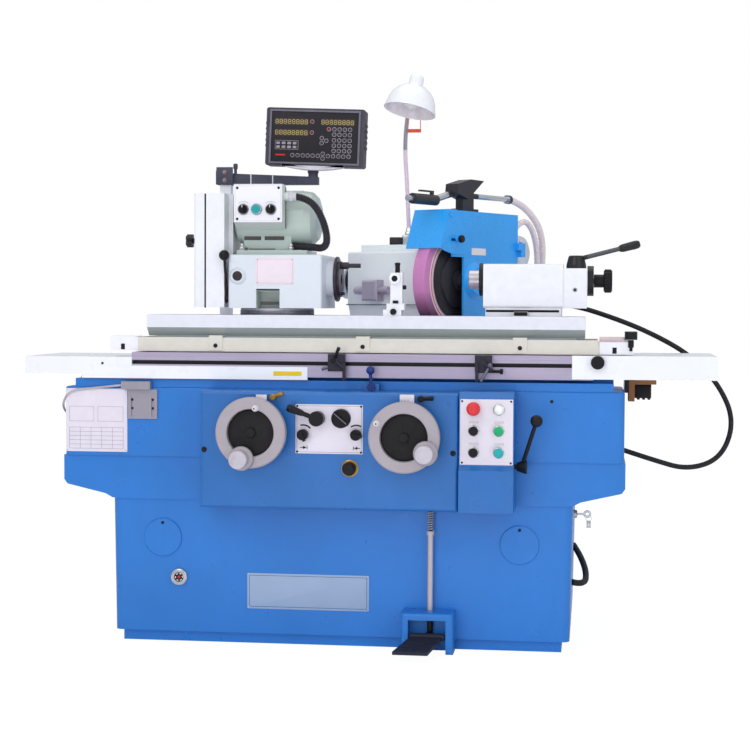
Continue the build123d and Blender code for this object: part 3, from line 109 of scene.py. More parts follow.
class GrinderSizes(bpy.types.PropertyGroup):
    """Trim sizes that a user would change."""
    plate: length("Plate thickness", 1.4, "Sheet of the instruction and button plates")
    rib: length("Hose rib pitch", 5.0, "Distance between the ribs of a hose")


def colours():
    return bpy.context.scene.grinder_colours


def sizes():
    return bpy.context.scene.grinder_sizes


class Nodes:
    """A node tree that is built up from nothing."""

    def __init__(self, tree):
        self.tree = tree
        tree.nodes.clear()

    def add(self, kind, values=None, **settings):
        """A new node, with values for its inputs."""
        node = self.tree.nodes.new(kind)
        for key, value in settings.items():
            setattr(node, key, value)
        for key, value in (values or {}).items():
            node.inputs[key].default_value = value
        return node

    def link(self, a, b):
        self.tree.links.new(a, b)

    def ramp(self, fac, stops, hard=False):
        node = self.add("ShaderNodeValToRGB")
        ramp = node.color_ramp
        ramp.interpolation = "CONSTANT" if hard else "LINEAR"
        while len(ramp.elements) < len(stops):
            ramp.elements.new(0.5)
        for element, (pos, colour) in zip(ramp.elements, stops):
            element.position = pos
            element.color = colour if len(colour) == 4 else tuple(colour) + (1.0,)
        self.link(fac, node.inputs[0])
        return node.outputs[0]

    def mixed(self, fac, a, b, out):
        """Two shaders mixed, into the output."""
        node = self.add("ShaderNodeMixShader")
        for source, socket in zip((fac, a, b), node.inputs):
            self.link(source.outputs[0], socket)
        self.link(node.outputs[0], out.inputs[0])


class Finish(Nodes):
    """A node material on Object coordinates, built up from a few textures."""

    def __init__(self, name, rough=0.4, metal=0.0, coat=0.0, see_through=0.0):
        self.mat = bpy.data.materials.new(name)
        self.mat.use_nodes = True
        super().__init__(self.mat.node_tree)
        self.out = self.add("ShaderNodeOutputMaterial")
        self.skin = self.add("ShaderNodeBsdfPrincipled", {"Roughness": rough, "Metallic": metal, "Coat Weight": coat,
                                                          "Transmission Weight": see_through})
        self.link(self.skin.outputs[0], self.out.inputs[0])
        self.coord = self.add("ShaderNodeTexCoord").outputs["Object"]

    def moved(self, place=(0, 0, 0), turn=(0, 0, 0), stretch=(1, 1, 1), inverse=False):
        node = self.add("ShaderNodeMapping", {"Location": place, "Rotation": turn, "Scale": stretch},
                        vector_type="TEXTURE" if inverse else "POINT")
        self.link(self.coord, node.inputs[0])
        return node.outputs[0]

    def noise(self, scale, detail=3, where=None):
        node = self.add("ShaderNodeTexNoise", {"Scale": scale, "Detail": detail, "Roughness": 0.55})
        self.link(where or self.coord, node.inputs["Vector"])
        return node.outputs["Fac"]

    def cells(self, scale, output):
        node = self.add("ShaderNodeTexVoronoi", {"Scale": scale})
        self.link(self.coord, node.inputs["Vector"])
        return node.outputs[output]

    def rings(self, scale, axis, where):
        node = self.add("ShaderNodeTexWave", {"Scale": scale, "Distortion": 0.6, "Detail": 2, "Detail Scale": 1.5},
                        wave_type="RINGS", rings_direction=axis)
        self.link(where, node.inputs["Vector"])
        return node.outputs["Fac"]

    def spread(self, fac, low, high, start=0.3, end=0.7):
        node = self.add("ShaderNodeMapRange", {"From Min": start, "From Max": end, "To Min": low, "To Max": high})
        self.link(fac, node.inputs["Value"])
        return node.outputs[0]

    def blend(self, fac, a, b, mode="MIX"):
        node = self.add("ShaderNodeMix", data_type="RGBA", blend_type=mode)
        for socket, value in ((node.inputs[0], fac), (node.inputs[6], a), (node.inputs[7], b)):
            if isinstance(value, bpy.types.NodeSocket):
                self.link(value, socket)
            else:
                socket.default_value = value
        return node.outputs[2]

    def times(self, a, b):
        node = self.add("ShaderNodeMath", operation="MULTIPLY")
        self.link(a, node.inputs[0])
        self.link(b, node.inputs[1])
        return node.outputs[0]

    def along(self, axis, low, high, where=None):
        """0 to 1 along an axis of the object, between two places in mm."""
        node = self.add("ShaderNodeSeparateXYZ")
        self.link(where or self.coord, node.inputs[0])
        return self.spread(node.outputs[axis], 0, 1, low * MM, high * MM)

    def set(self, key, socket):
        self.link(socket, self.skin.inputs[key])

    def colour(self, socket):
        self.set("Base Color", socket)

    def rough(self, fac, low, high):
        self.set("Roughness", self.spread(fac, low, high))

    def bump(self, height, strength, depth):
        node = self.add("ShaderNodeBump", {"Strength": strength, "Distance": depth})
        self.link(height, node.inputs["Height"])
        if self.skin.inputs["Normal"].is_linked:
            self.link(self.skin.inputs["Normal"].links[0].from_socket, node.inputs["Normal"])
        self.set("Normal", node.outputs[0])


MADE = {}


def once(make):
    """Each finish is made once and shared. Its colour may be given as 0 to 255 on screen."""
    def made(name, base, *args, **kw):
        if name not in MADE:
            MADE[name] = make(name, linear(base), *args, **kw)
        return MADE[name]
    return made


@once
def enamel(name, base, gloss=0.32, peel=0.10, tone=0.10):
    """Sprayed gloss paint with a faint orange peel."""
    f = Finish(name, gloss, coat=0.1)
    f.skin.inputs["Coat Roughness"].default_value = 0.2
    cloud = f.noise(2.4, 4)
    flow = f.noise(38, 3, f.moved(stretch=(1, 1, 0.25)))
    body = f.ramp(cloud, [(0.28, shade(base, 1 - tone)), (0.5, base), (0.72, shade(base, 1 + tone))])
    f.colour(f.blend(f.spread(flow, 0, 0.16), body, shade(base, 1 - 2 * tone)))
    f.rough(f.noise(14, 3), gloss - 0.06, gloss + 0.10)
    f.bump(f.noise(330, 2), peel, 0.0006)
    return f.mat


@once
def hammered(name, base, coat=0.3):
    """Hammer paint: dimples over a slight waviness."""
    f = Finish(name, 0.36, coat=coat)
    cloud = f.noise(3.1, 4)
    dimple = f.cells(190, "Distance")
    body = f.ramp(cloud, [(0.25, shade(base, 0.93)), (0.55, base), (0.8, shade(base, 1.05))])
    f.colour(f.blend(f.spread(dimple, 0.10, 0.0, 0.0, 0.5), body, shade(base, 0.78)))
    f.rough(f.noise(20, 3), 0.28, 0.46)
    f.bump(dimple, 0.12, 0.0008)
    f.bump(f.noise(34, 3), 0.12, 0.0016)
    return f.mat


@once
def ground(name, base, run=ALONG, rough=0.32, streak=0.12, painted_slot_shade=None):
    """Steel with grinding lines along one direction; the last argument is (y from, z from, z to) in mm: behind that
    face and between those heights the steel is painted near-black, as painted shade in a slot.
    """
    f = Finish(name, rough, metal=0.85)
    fine = f.noise(1, 4, f.moved(stretch=tuple(4 if v else 700 for v in run)))
    lines = f.ramp(fine, [(0.3, shade(base, 1 - streak)), (0.7, shade(base, 1 + streak))])
    tone = f.blend(f.spread(f.noise(5, 3), 0, 0.35), lines, shade(base, 0.8))
    if painted_slot_shade:
        # painted shade: the slot's faces turn near-black and lose their metal
        y, low, high = painted_slot_shade
        slot_shade_mask = f.times(f.along("Y", y, y + 0.4), f.along("Z", low, low + 0.1))
        slot_shade_mask = f.times(slot_shade_mask, f.along("Z", high, high - 0.1))
        tone = f.blend(slot_shade_mask, tone, (0.012, 0.011, 0.013, 1))
        f.set("Metallic", f.spread(slot_shade_mask, 0.85, 0.0, 0, 1))
    f.colour(tone)
    f.rough(fine, rough - 0.08, rough + 0.12)
    f.bump(fine, 0.12, 0.0004)
    return f.mat


@once
def lathed(name, base, place, rough=0.25, metal=0.9, axis="Y"):
    """Turned metal: tool rings about an axis."""
    f = Finish(name, rough, metal=metal)
    line = f.rings(260, axis, f.moved(place=tuple(-v * MM for v in place)))
    rings = f.ramp(line, [(0.2, shade(base, 0.9)), (0.8, shade(base, 1.06))])
    f.colour(f.blend(f.spread(f.noise(26, 3), 0, 0.3), rings, shade(base, 0.82)))
    f.rough(line, rough - 0.05, rough + 0.08)
    f.bump(line, 0.06, 0.0003)
    return f.mat


@once
def moulded(name, base, rough=0.42, grain=420, cloud=0.14):
    """Plastic or rubber with a fine grain."""
    f = Finish(name, rough)
    f.skin.inputs["Specular IOR Level"].default_value = 0.28
    f.colour(f.ramp(f.noise(24, 4), [(0.3, shade(base, 1 - cloud)), (0.7, shade(base, 1 + cloud))]))
    f.rough(f.noise(60, 2), rough - 0.08, rough + 0.1)
    f.bump(f.noise(grain, 2), 0.12, 0.0004)
    return f.mat


@once
def abrasive(name, base):
    """Bonded grains, with wear streaks round the rim and painted shade darkening the lower part."""
    f = Finish(name, 0.9)
    worn = f.noise(15, 4, f.moved(turn=(0, 0, radians(30)), stretch=(1, 0.4, 0.4)))
    tone = f.ramp(worn, [(0.25, shade(base, 0.62)), (0.5, base), (0.8, shade(base, 1.10))])
    # painted shade: below these heights the wheel turns dark
    dark = f.ramp(worn, [(0.3, shade(base, 0.12)), (0.7, shade(base, 0.26))])
    tone = f.blend(f.along("Z", 1080, 1005), tone, dark)
    f.colour(f.blend(0.16, tone, f.cells(520, "Color"), "OVERLAY"))
    f.bump(f.noise(620, 2), 0.5, 0.0012)
    return f.mat


@once
def paper(name, base, stain=0.06):
    """Paper, film or flat print."""
    f = Finish(name, 0.6)
    f.colour(f.ramp(f.noise(30, 5), [(0.3, shade(base, 1 - stain)), (0.7, base)]))
    f.rough(f.noise(90, 2), 0.45, 0.65)
    f.bump(f.noise(300, 3), 0.08, 0.0003)
    return f.mat


@once
def banded(name, axis, stops, end, in_head=False):
    """One piece in several finishes along an axis: stops are (from this mm, colour, metal, roughness), up to end."""
    f = Finish(name)
    where = f.moved(HEAD_AT, (0, 0, HEAD_TURN), inverse=True) if in_head else None
    low, high = stops[0][0] - 1, end + 1
    t = f.along(axis, low, high, where)
    at = [0.0] + [(s[0] - low) / (high - low) for s in stops[1:]]
    tone = f.ramp(t, [(p, linear(s[1])) for p, s in zip(at, stops)], True)
    f.colour(f.blend(f.spread(f.noise(40, 4), 0, 0.06), tone, (0.02, 0.02, 0.022, 1), "MULTIPLY"))
    for key, i in (("Metallic", 2), ("Roughness", 3)):
        f.set(key, f.ramp(t, [(p, (s[i],) * 3) for p, s in zip(at, stops)], True))
    f.bump(f.noise(380, 2), 0.08, 0.0004)
    return f.mat


@once
def clear_hose(name, base):
    """Cloudy clear plastic."""
    f = Finish(name, 0.25, see_through=0.12, coat=0.4)
    f.colour(f.ramp(f.noise(40, 3), [(0.3, shade(base, 0.94)), (0.7, base)]))
    f.rough(f.noise(70, 2), 0.2, 0.4)
    f.bump(f.noise(200, 2), 0.1, 0.0004)
    return f.mat


@once
def spun(name, base):
    """Bright sheet spun to shape, almost without marks."""
    f = Finish(name, 0.26, metal=0.2, coat=0.2)
    f.colour(f.ramp(f.noise(5, 2), [(0.3, shade(base, 0.985)), (0.7, base)]))
    f.rough(f.noise(9, 2), 0.24, 0.30)
    return f.mat


# Finishes that several groups share
def black():
    return moulded("black_moulding", colours().black)


def chrome():
    return ground("bright_fittings", (208, 208, 212), UP, 0.2, 0.06)


def satin():
    return ground("plate_satin", (244, 237, 248), ALONG, 0.5, 0.03)


def reader_steel():
    return ground("block_steel", (176, 170, 182), UP, 0.5, 0.12)


def white_enamel():
    return enamel("white_enamel", colours().white, 0.3, 0.08, 0.03)


def head_enamel():
    return hammered("head_enamel", colours().head)


def motor_enamel():
    return hammered("motor_enamel", colours().motor)


def flange_black():
    return moulded("flange_black", (44, 42, 47), 0.38)


def arm_slate():
    return moulded("arm_slate", (74, 76, 92), 0.45)


def key_rim():
    return moulded("key_rim", (158, 150, 160), 0.4)


def console_shell():
    return moulded("console_shell", colours().console, 0.5, 300)


# Modelling helpers: places and sizes in mm
def only(*pieces):
    """Selects just these pieces, with the first one active."""
    if bpy.context.object and bpy.context.object.mode != "OBJECT":
        bpy.ops.object.mode_set(mode="OBJECT")
    bpy.ops.object.select_all(action="DESELECT")
    for p in pieces:
        p.select_set(True)
    if pieces:
        bpy.context.view_layer.objects.active = pieces[0]


def settle():
    """Leaves the active piece unturned and unscaled at the origin."""
    bpy.ops.object.transform_apply(location=True, rotation=True, scale=True)
    return bpy.context.object


def edit(o):
    only(o)
    bpy.ops.object.mode_set(mode="EDIT")


def done_editing():
    bpy.ops.object.mode_set(mode="OBJECT")


def pick_all():
    bpy.ops.mesh.select_all(action="SELECT")


def pick(o, kind, test):
    """Selects the edges or faces of o that pass a test, and leaves o in edit mode."""
    edit(o)
    bpy.ops.mesh.select_mode(type=kind)
    bpy.ops.mesh.select_all(action="DESELECT")
    done_editing()
    v = o.data.vertices
    if kind == "EDGE":
        for e in o.data.edges:
            e.select = bool(test(v[e.vertices[0]].co, v[e.vertices[1]].co))
    else:
        for p in o.data.polygons:
            p.select = bool(test(p.center, p.normal))
    bpy.ops.object.mode_set(mode="EDIT")


def soften(edge, steps):
    bpy.ops.mesh.bevel(offset=edge * MM, segments=steps, affect="EDGES")


def block(lo, hi, edge=0.3, steps=1, corner=0.0):
    """A block with softened edges; with a corner, its edges along Y are rounded first."""
    only()
    bpy.ops.mesh.primitive_cube_add(size=1, location=[(a + b) / 2 * MM for a, b in zip(lo, hi)])
    bpy.context.object.scale = [abs(b - a) * MM for a, b in zip(lo, hi)]
    o = settle()
    if corner:
        pick(o, "EDGE", lambda a, b: abs((b - a).normalized().y) > 0.99)
        soften(corner, 6)
        pick(o, "FACE", lambda c, n: abs(n.y) > 0.9)
    else:
        edit(o)
        pick_all()
    soften(edge, steps)
    done_editing()
    return o


def spin_line(at, outline, steps, axis):
    """A piece spun about an axis from its outline, points of (radius, distance along the axis)."""
    along, out = (Vector(v) for v in AXES[axis])
    at = Vector(at) * MM
    pts = [at + out * (r * MM) + along * (d * MM) for r, d in outline]
    only()
    bpy.ops.mesh.primitive_plane_add(size=0.002, location=pts[0])
    o = settle()
    edit(o)
    bpy.ops.mesh.select_mode(type="VERT")
    pick_all()
    bpy.ops.mesh.merge(type="CENTER")
    for a, b in zip(pts, pts[1:]):
        bpy.ops.mesh.extrude_vertices_move(TRANSFORM_OT_translate={"value": b - a})
    pick_all()
    bpy.ops.mesh.spin(steps=steps, angle=2 * pi, center=at, axis=along)
    pick_all()
    bpy.ops.mesh.remove_doubles(threshold=1e-6)
    bpy.ops.mesh.normals_make_consistent(inside=False)
    done_editing()
    return o


def turned(at, outline, steps=40, axis="Y"):
    """A solid piece: its outline runs in to the axis at both ends."""
    ends = [[(0, d)] if r else [] for r, d in (outline[0], outline[-1])]
    return spin_line(at, ends[0] + outline + ends[1], steps, axis)


def ring(at, outline, steps=40, axis="Y"):
    """A piece with a hole: its outline closes on itself."""
    return spin_line(at, outline + outline[:1], steps, axis)


def rod(a, b, r, r2=None, edge=1.0, sides=24):
    """A round bar from a to b, tapered if r2 is given, with softened ends."""
    a, b = Vector(a) * MM, Vector(b) * MM
    way = b - a
    only()
    bpy.ops.mesh.primitive_cone_add(vertices=sides, radius1=r * MM, radius2=(r if r2 is None else r2) * MM,
                                    depth=way.length, location=(a + b) / 2,
                                    rotation=way.to_track_quat("Z", "Y").to_euler())
    o = settle()
    unit = way.normalized()
    pick(o, "EDGE", lambda p, q: abs((q - p).dot(unit)) < 1e-5)
    soften(edge, 2)
    done_editing()
    return o


def arc(at, r, wide, thick, start, end, steps=14):
    """A flat curved mark round a knob: a small rectangle spun about Y."""
    x, y, z = at
    only()
    bpy.ops.mesh.primitive_plane_add(size=1, location=((x + r) * MM, (y - thick / 2) * MM, z * MM))
    bpy.context.object.scale = (wide * MM, thick * MM, 1)
    o = settle()
    edit(o)
    pick_all()
    bpy.ops.mesh.spin(steps=steps, angle=radians(end - start), center=Vector(at) * MM, axis=(0, -1, 0))
    pick_all()
    bpy.ops.mesh.normals_make_consistent(inside=False)
    done_editing()
    return placed(o, about(at, -start))


def copied(o, shift):
    """A copy of a piece with its own mesh, shifted by mm."""
    only(o)
    bpy.ops.object.duplicate()
    c = bpy.context.object
    c.location = Vector(c.location) + Vector(shift) * MM
    return settle()


def joined(pieces):
    only(*pieces)
    if len(pieces) > 1:
        bpy.ops.object.join()
    return bpy.context.object


def placed(o, matrix):
    """Moves a piece by a matrix."""
    only(o)
    o.matrix_world = matrix
    return settle()


def about(at, degrees):
    """A turn about the Y axis through a place."""
    at = Vector(at) * MM
    return Matrix.Translation(at) @ Matrix.Rotation(radians(degrees), 4, "Y") @ Matrix.Translation(-at)


def wear(o, mat):
    """Gives an object one material."""
    o.data.materials.clear()
    o.data.materials.append(mat)


def paint(mat, *nodes):
    for n in nodes:
        wear(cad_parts[n], mat)


def fit(name, pieces, body, mat=None, slot="black_plastic", place=None, angle=SOFT):
    """Joins pieces into one and finishes it: material, smooth faces and the body it rides on. The slot argument is not
    used.
    """
    o = joined(pieces if isinstance(pieces, list) else [pieces])
    o.name = o.data.name = name
    if place:
        placed(o, place)
    wear(o, mat or black())
    if o.type == "MESH":
        bpy.ops.object.shade_smooth_by_angle(angle=angle)
    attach(o, body)
    return o


def shiny(name, pieces, body, place=None):
    return fit(name, pieces, body, chrome(), "bright_steel", place)


def printed(name, pieces, body, look, rgb, stain=0.06, place=None):
    return fit(name, pieces, body, paper(look, rgb, stain), "white_paint", place)


def screws(name, places, y, r, body, finished=fit):
    """Domed screw heads on a plate's front, copied from one."""
    x, z = places[0]
    dome = turned((x, y, z), [(0, -0.55 * r), (0.5 * r, -0.5 * r), (0.85 * r, -0.3 * r), (r, 0.2), (0, 0.2)], 18)
    cut = block((x - 0.7 * r, y - 0.62 * r, z - 0.12 * r), (x + 0.7 * r, y - 0.3 * r, z + 0.12 * r), 0.1)
    first = joined([dome, cut])
    rest = [copied(first, (px - x, 0, pz - z)) for px, pz in places[1:]]
    finished(name, [first] + rest, body)


def plate(name, box, face, thick, body, mat, edge=0.4, corner=3):
    """A sheet (x0, x1, z0, z1) on a face. Gives the place of its front."""
    x0, x1, z0, z1 = box
    fit(name, block((x0, face - thick, z0), (x1, face, z1), edge, 2, corner), body, mat, "white_paint")
    return face - thick


def corners(box, inset):
    x0, x1, z0, z1 = box
    return [(x, z) for z in (z0 + inset, z1 - inset) for x in (x0 + inset, x1 - inset)]


def border(x0, x1, z0, z1, y, wide, thick):
    """A thin raised frame."""
    a, b, c, d = x0 + wide, x1 - wide, z0 + wide, z1 - wide
    bars = ((x0, x1, z0, c), (x0, x1, d, z1), (x0, a, c, d), (b, x1, c, d))
    return joined([block((p, y - thick, r), (q, y, s), 0.15) for p, q, r, s in bars])


def linked(name, data):
    o = bpy.data.objects.new(name, data)
    bpy.context.scene.collection.objects.link(o)
    return o


def route_line(points, in_head=False):
    """The smooth line of a cord: a NURBS spline with the route's points as its control points."""
    data = bpy.data.curves.new("route", "CURVE")
    data.dimensions = "3D"
    spline = data.splines.new("NURBS")
    spline.points.add(len(points) - 1)
    for p, co in zip(spline.points, points):
        co = Vector(co) * MM
        p.co = ((HEAD @ co) if in_head else co).to_4d()
    spline.order_u = 3
    spline.use_endpoint_u = True
    data.resolution_u = 24
    return data


def smooth_cord(name, points, r):
    data = route_line(points)
    data.bevel_depth = r * MM
    data.bevel_resolution = 5
    data.use_fill_caps = True
    return linked(name, data)


def ribbed_cord(name, points, r, pitch, depth, in_head=False, sides=16):
    """A corrugated hose along the route's spline, the line that it follows and its length."""
    guide = linked("guide", route_line(points, in_head))
    bpy.context.view_layer.update()
    read = bpy.data.meshes.new_from_object(guide)
    line = [v.co.copy() for v in read.vertices]
    bpy.data.objects.remove(guide)
    bpy.data.meshes.remove(read)
    runs = [0.0]
    for a, b in zip(line, line[1:]):
        runs.append(runs[-1] + (b - a).length)
    whole, last = runs[-1], len(line) - 2
    count = int(whole / (pitch * MM))

    def spot(s):
        i = max(0, min(last, next((k for k, v in enumerate(runs[1:]) if v >= s), last)))
        t = (s - runs[i]) / max(1e-9, runs[i + 1] - runs[i])
        return line[i].lerp(line[i + 1], t), (line[i + 1] - line[i]).normalized()

    rib = ((0.0, r - depth), (0.25, r), (0.65, r), (0.9, r - depth))  # part of the pitch, radius there
    steps = [(k + part, rr) for k in range(count) for part, rr in rib] + [(count, rib[0][1])]
    verts, side = [], None
    for step, rr in steps:
        c, way = spot(min(whole, step / count * whole))
        side = side or way.orthogonal()
        side = (side - way * side.dot(way)).normalized()
        up = way.cross(side)
        for j in range(sides):
            a = 2 * pi * j / sides
            verts.append(c + (side * cos(a) + up * sin(a)) * rr * MM)
    end = (len(steps) - 1) * sides
    faces = [(i + j, i + (j + 1) % sides, i + sides + (j + 1) % sides, i + sides + j)
             for i in range(0, end, sides) for j in range(sides)]
    faces += [tuple(reversed(range(sides))), tuple(range(end, end + sides))]
    mesh = bpy.data.meshes.new(name)
    mesh.from_pydata(verts, [], faces)
    return linked(name, mesh), line, whole


class GRINDER_OT_paint(bpy.types.Operator):
    """Give the castings, tables, heads and controls their enamel, ground steel and plastic"""
    bl_idname = "grinder.paint"
    bl_label = "Paint the machine"

    def execute(self, context):
        c = colours()
        dark, white = c.black, c.white
        bright, steel, valve = (205, 205, 210), (178, 176, 184), (40, 37, 44)
        paint(enamel("bed_enamel", c.bed), "bed_casting", "pedal_guard")
        # the apron and electrical box take the bed enamel darkened, as painted shade
        paint(enamel("apron_enamel", shade(c.bed, 0.76)), "apron_box", "electric_box")
        paint(enamel("guard_enamel", c.guard, 0.28), "wheel_guard", "guard_door", "guard_hood")
        paint(head_enamel(), "workhead_body", "cross_slide", "wheel_drive")
        # the wheelhead takes a lighter copy of the head enamel, as painted light
        paint(hammered("wheelhead_enamel", (248, 253, 255), 0.9), "wheelhead_body")
        paint(motor_enamel(), "work_motor")
        paint(white_enamel(), "way_covers", "readout_post")
        paint(enamel("box_enamel", (206, 214, 210), 0.3, 0.08, 0.03), "work_control_box")
        # the slot along the lower table's front gets painted shade
        paint(ground("table_steel", c.steel, ALONG, 0.36, 0.12, (-441.4, 849, 871)), "lower_table")
        paint(ground("spring_steel", (214, 208, 212), UP, 0.3, 0.05), "pedal_spring")
        paint(ground("spindle_block", (206, 196, 212), UP, 0.55, 0.10), "internal_spindle")
        paint(reader_steel(), "scale_reader")
        paint(abrasive("wheel_grit", c.wheel), "grinding_wheel")
        paint(lathed("quill_steel", (206, 200, 206), (0, AXIS_Y, AXIS_Z), 0.22, axis="X"), "tail_quill")
        for side, node, (x, z) in (("left", "table_handwheel", LEFT_WHEEL), ("right", "infeed_handwheel", RIGHT_WHEEL)):
            paint(lathed(side + "_rim", (174, 166, 174), (x, HAND_Y, z), 0.5, 0.35), node)
        for node, name, axis, end, *stops in (
            ("tailstock_body", "tailstock_finish", "X", 770,
             (400, dark, 0, 0.4), (424.2, white, 0, 0.3), (738.2, dark, 0, 0.4)),
            ("belt_cover", "belt_cover_finish", "X", -350, (-500, dark, 0, 0.4), (-464.4, white, 0, 0.34)),
            # below the cream, the sloping band is a darker teal-grey: painted shade on that face
            ("swivel_table", "swivel_finish", "Z", 1010,
             (880, (168, 176, 178), 0, 0.4), (965.8, c.cream, 0, 0.34), (1004.7, (196, 192, 206), 0.4, 0.4)),
            ("table_trough", "trough_finish", "X", 880,
             (-760, white, 0, 0.34), (-627.4, c.tray, 0, 0.38), (772.6, white, 0, 0.34)),
            ("pedal_rod", "rod_finish", "Z", 480,
             (60, dark, 0, 0.5), (104, (200, 188, 192), 0.5, 0.35), (362, dark, 0, 0.5)),
            ("work_spindle", "work_spindle_finish", "X", 60, (-450, steel, 0.9, 0.3), (-40.4, (66, 60, 68), 0.6, 0.35)),
            ("tail_lever", "tail_lever_finish", "X", 900,
             (600, dark, 0, 0.35), (738, (92, 92, 98), 0.8, 0.3), (834, dark, 0, 0.35)),
            ("dresser_stand", "dresser_finish", "Z", 1160, (1000, white, 0, 0.35), (1134.6, dark, 0, 0.4)),
            ("piston_rod", "piston_finish", "X", 960,
             (280, steel, 0.9, 0.25), (852.5, dark, 0, 0.5), (866.5, (156, 100, 52), 0, 0.5)),
            ("coolant_pipes", "coolant_finish", "Y", 490,
             (-320, bright, 0.9, 0.25), (-270.5, valve, 0, 0.4), (-141.5, bright, 0.9, 0.25), (-84, valve, 0, 0.42),
             (90.5, bright, 0.9, 0.22), (271.5, (70, 70, 76), 0.6, 0.35), (291, c.guard, 0, 0.35)),
        ):
            paint(banded(name, axis, stops, end, node == "coolant_pipes"), node)
        for name, tone, rough, *nodes in (
            ("dog_black", (46, 44, 56), 0.5, "trip_dogs"),
            ("lever_black", dark, 0.4, "workhead_lever", "start_lever", "rapid_lever"),
            ("lever_blue", (36, 54, 118), 0.35, "reverse_lever"),
            ("pedal_black", (40, 42, 58), 0.55, "foot_pedal"),
            ("stop_red", (212, 56, 60), 0.3, "estop_button"),
            ("start_green", (30, 160, 104), 0.3, "button_green"),
            ("start_teal", (34, 160, 166), 0.3, "button_teal", "jog_button"),
        ):
            paint(moulded(name, tone, rough), *nodes)
        paint(black(), "tail_knob", "speed_knob", "dwell_knob_left", "dwell_knob_right", "selector_left",
              "selector_right", "button_black_upper", "button_black_lower", "oil_knob")
        paint(flange_black(), "wheel_spindle")
        paint(arm_slate(), "readout_arm")
        paint(console_shell(), "readout_console")
        return {"FINISHED"}


class GRINDER_OT_cords(bpy.types.Operator):
    """Lay the conduits, the reader's lead and the coolant hoses"""
    bl_idname = "grinder.cords"
    bl_label = "Conduits and hoses"

    def execute(self, context):
        rubber = moulded("conduit_rubber", (34, 33, 37), 0.55)
        ribbed = moulded("conduit_ribbed", (50, 47, 55), 0.36)
        clear = clear_hose("clear_hose", colours().hose)
        grey = moulded("lead_grey", (176, 168, 174), 0.5)
        pitch = sizes().rib / MM
        for name, r, step, deep, body, node, slot, mat, in_head, pts in (
            ("work_conduit_hose", 11.5, 5.2, 2.2, "workhead", "work_conduit", "black_rubber", ribbed, False,
             [(-166, -366, 1367), (-108, -366, 1367), (-62, -346, 1297.5), (-50, -326, 1208), (-122, -302, 1216),
              (-170, -300, 1218)]),
            ("coolant_hose_upper", 11.5, pitch, 1.1, "wheelhead", "coolant_hoses", "clear_hose", clear, True,
             [(230, 290, 1396), (236, 338, 1388), (252, 402, 1348), (260, 454, 1284), (262, 456, 1186),
              (260, 440, 1024)]),
            ("coolant_hose_lower", 10, pitch, 1.0, "wheelhead", "coolant_hoses", "clear_hose", clear, True,
             [(275, 247.5, 1290), (275, 296, 1327), (275, 354, 1313), (275, 396, 1245), (275, 402, 1137),
              (275, 396, 1024)]),
        ):
            o, line, run = ribbed_cord(name, pts, r, step, deep, in_head)
            fit(name, o, body, mat, slot, angle=ROUND)
            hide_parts(node)
        for name, r, long, lay, node, slot, mat, pts in (
            ("rear_conduit_hose", 8, 1.572, "hanging", "conduits", "black_rubber", rubber,
             [(600, -45, 690), (600, 55, 690), (600, 55, 880), (615, 30, 1040), (700, 20, 1040), (865, 10, 985),
              (975, 0, 935), (1060, -5, 885), (1150, -10, 800), (1205, -30, 680), (1165, -50, 560), (1060, -65, 522),
              (950, -80, 553), (853, -90, 585)]),
            ("side_conduit_hose", 10, 0.275, "hanging", "conduits", "black_rubber", rubber,
             [(701, 120, 250), (722, 80, 226), (745, 0, 180), (740, -80, 150), (699, -110, 164)]),
            ("reader_lead_cord", 3.5, 0.294, "taut", "reader_lead", "grey_lead", grey,
             [(-668, -447, 789), (-756, -441, 779), (-835, -441, 771), (-861, -437, 731), (-862, -401, 699),
              (-853, -365, 689)]),
        ):
            o = fit(name, smooth_cord(name, pts, r), "bed", mat, slot)
            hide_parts(node)
        return {"FINISHED"}


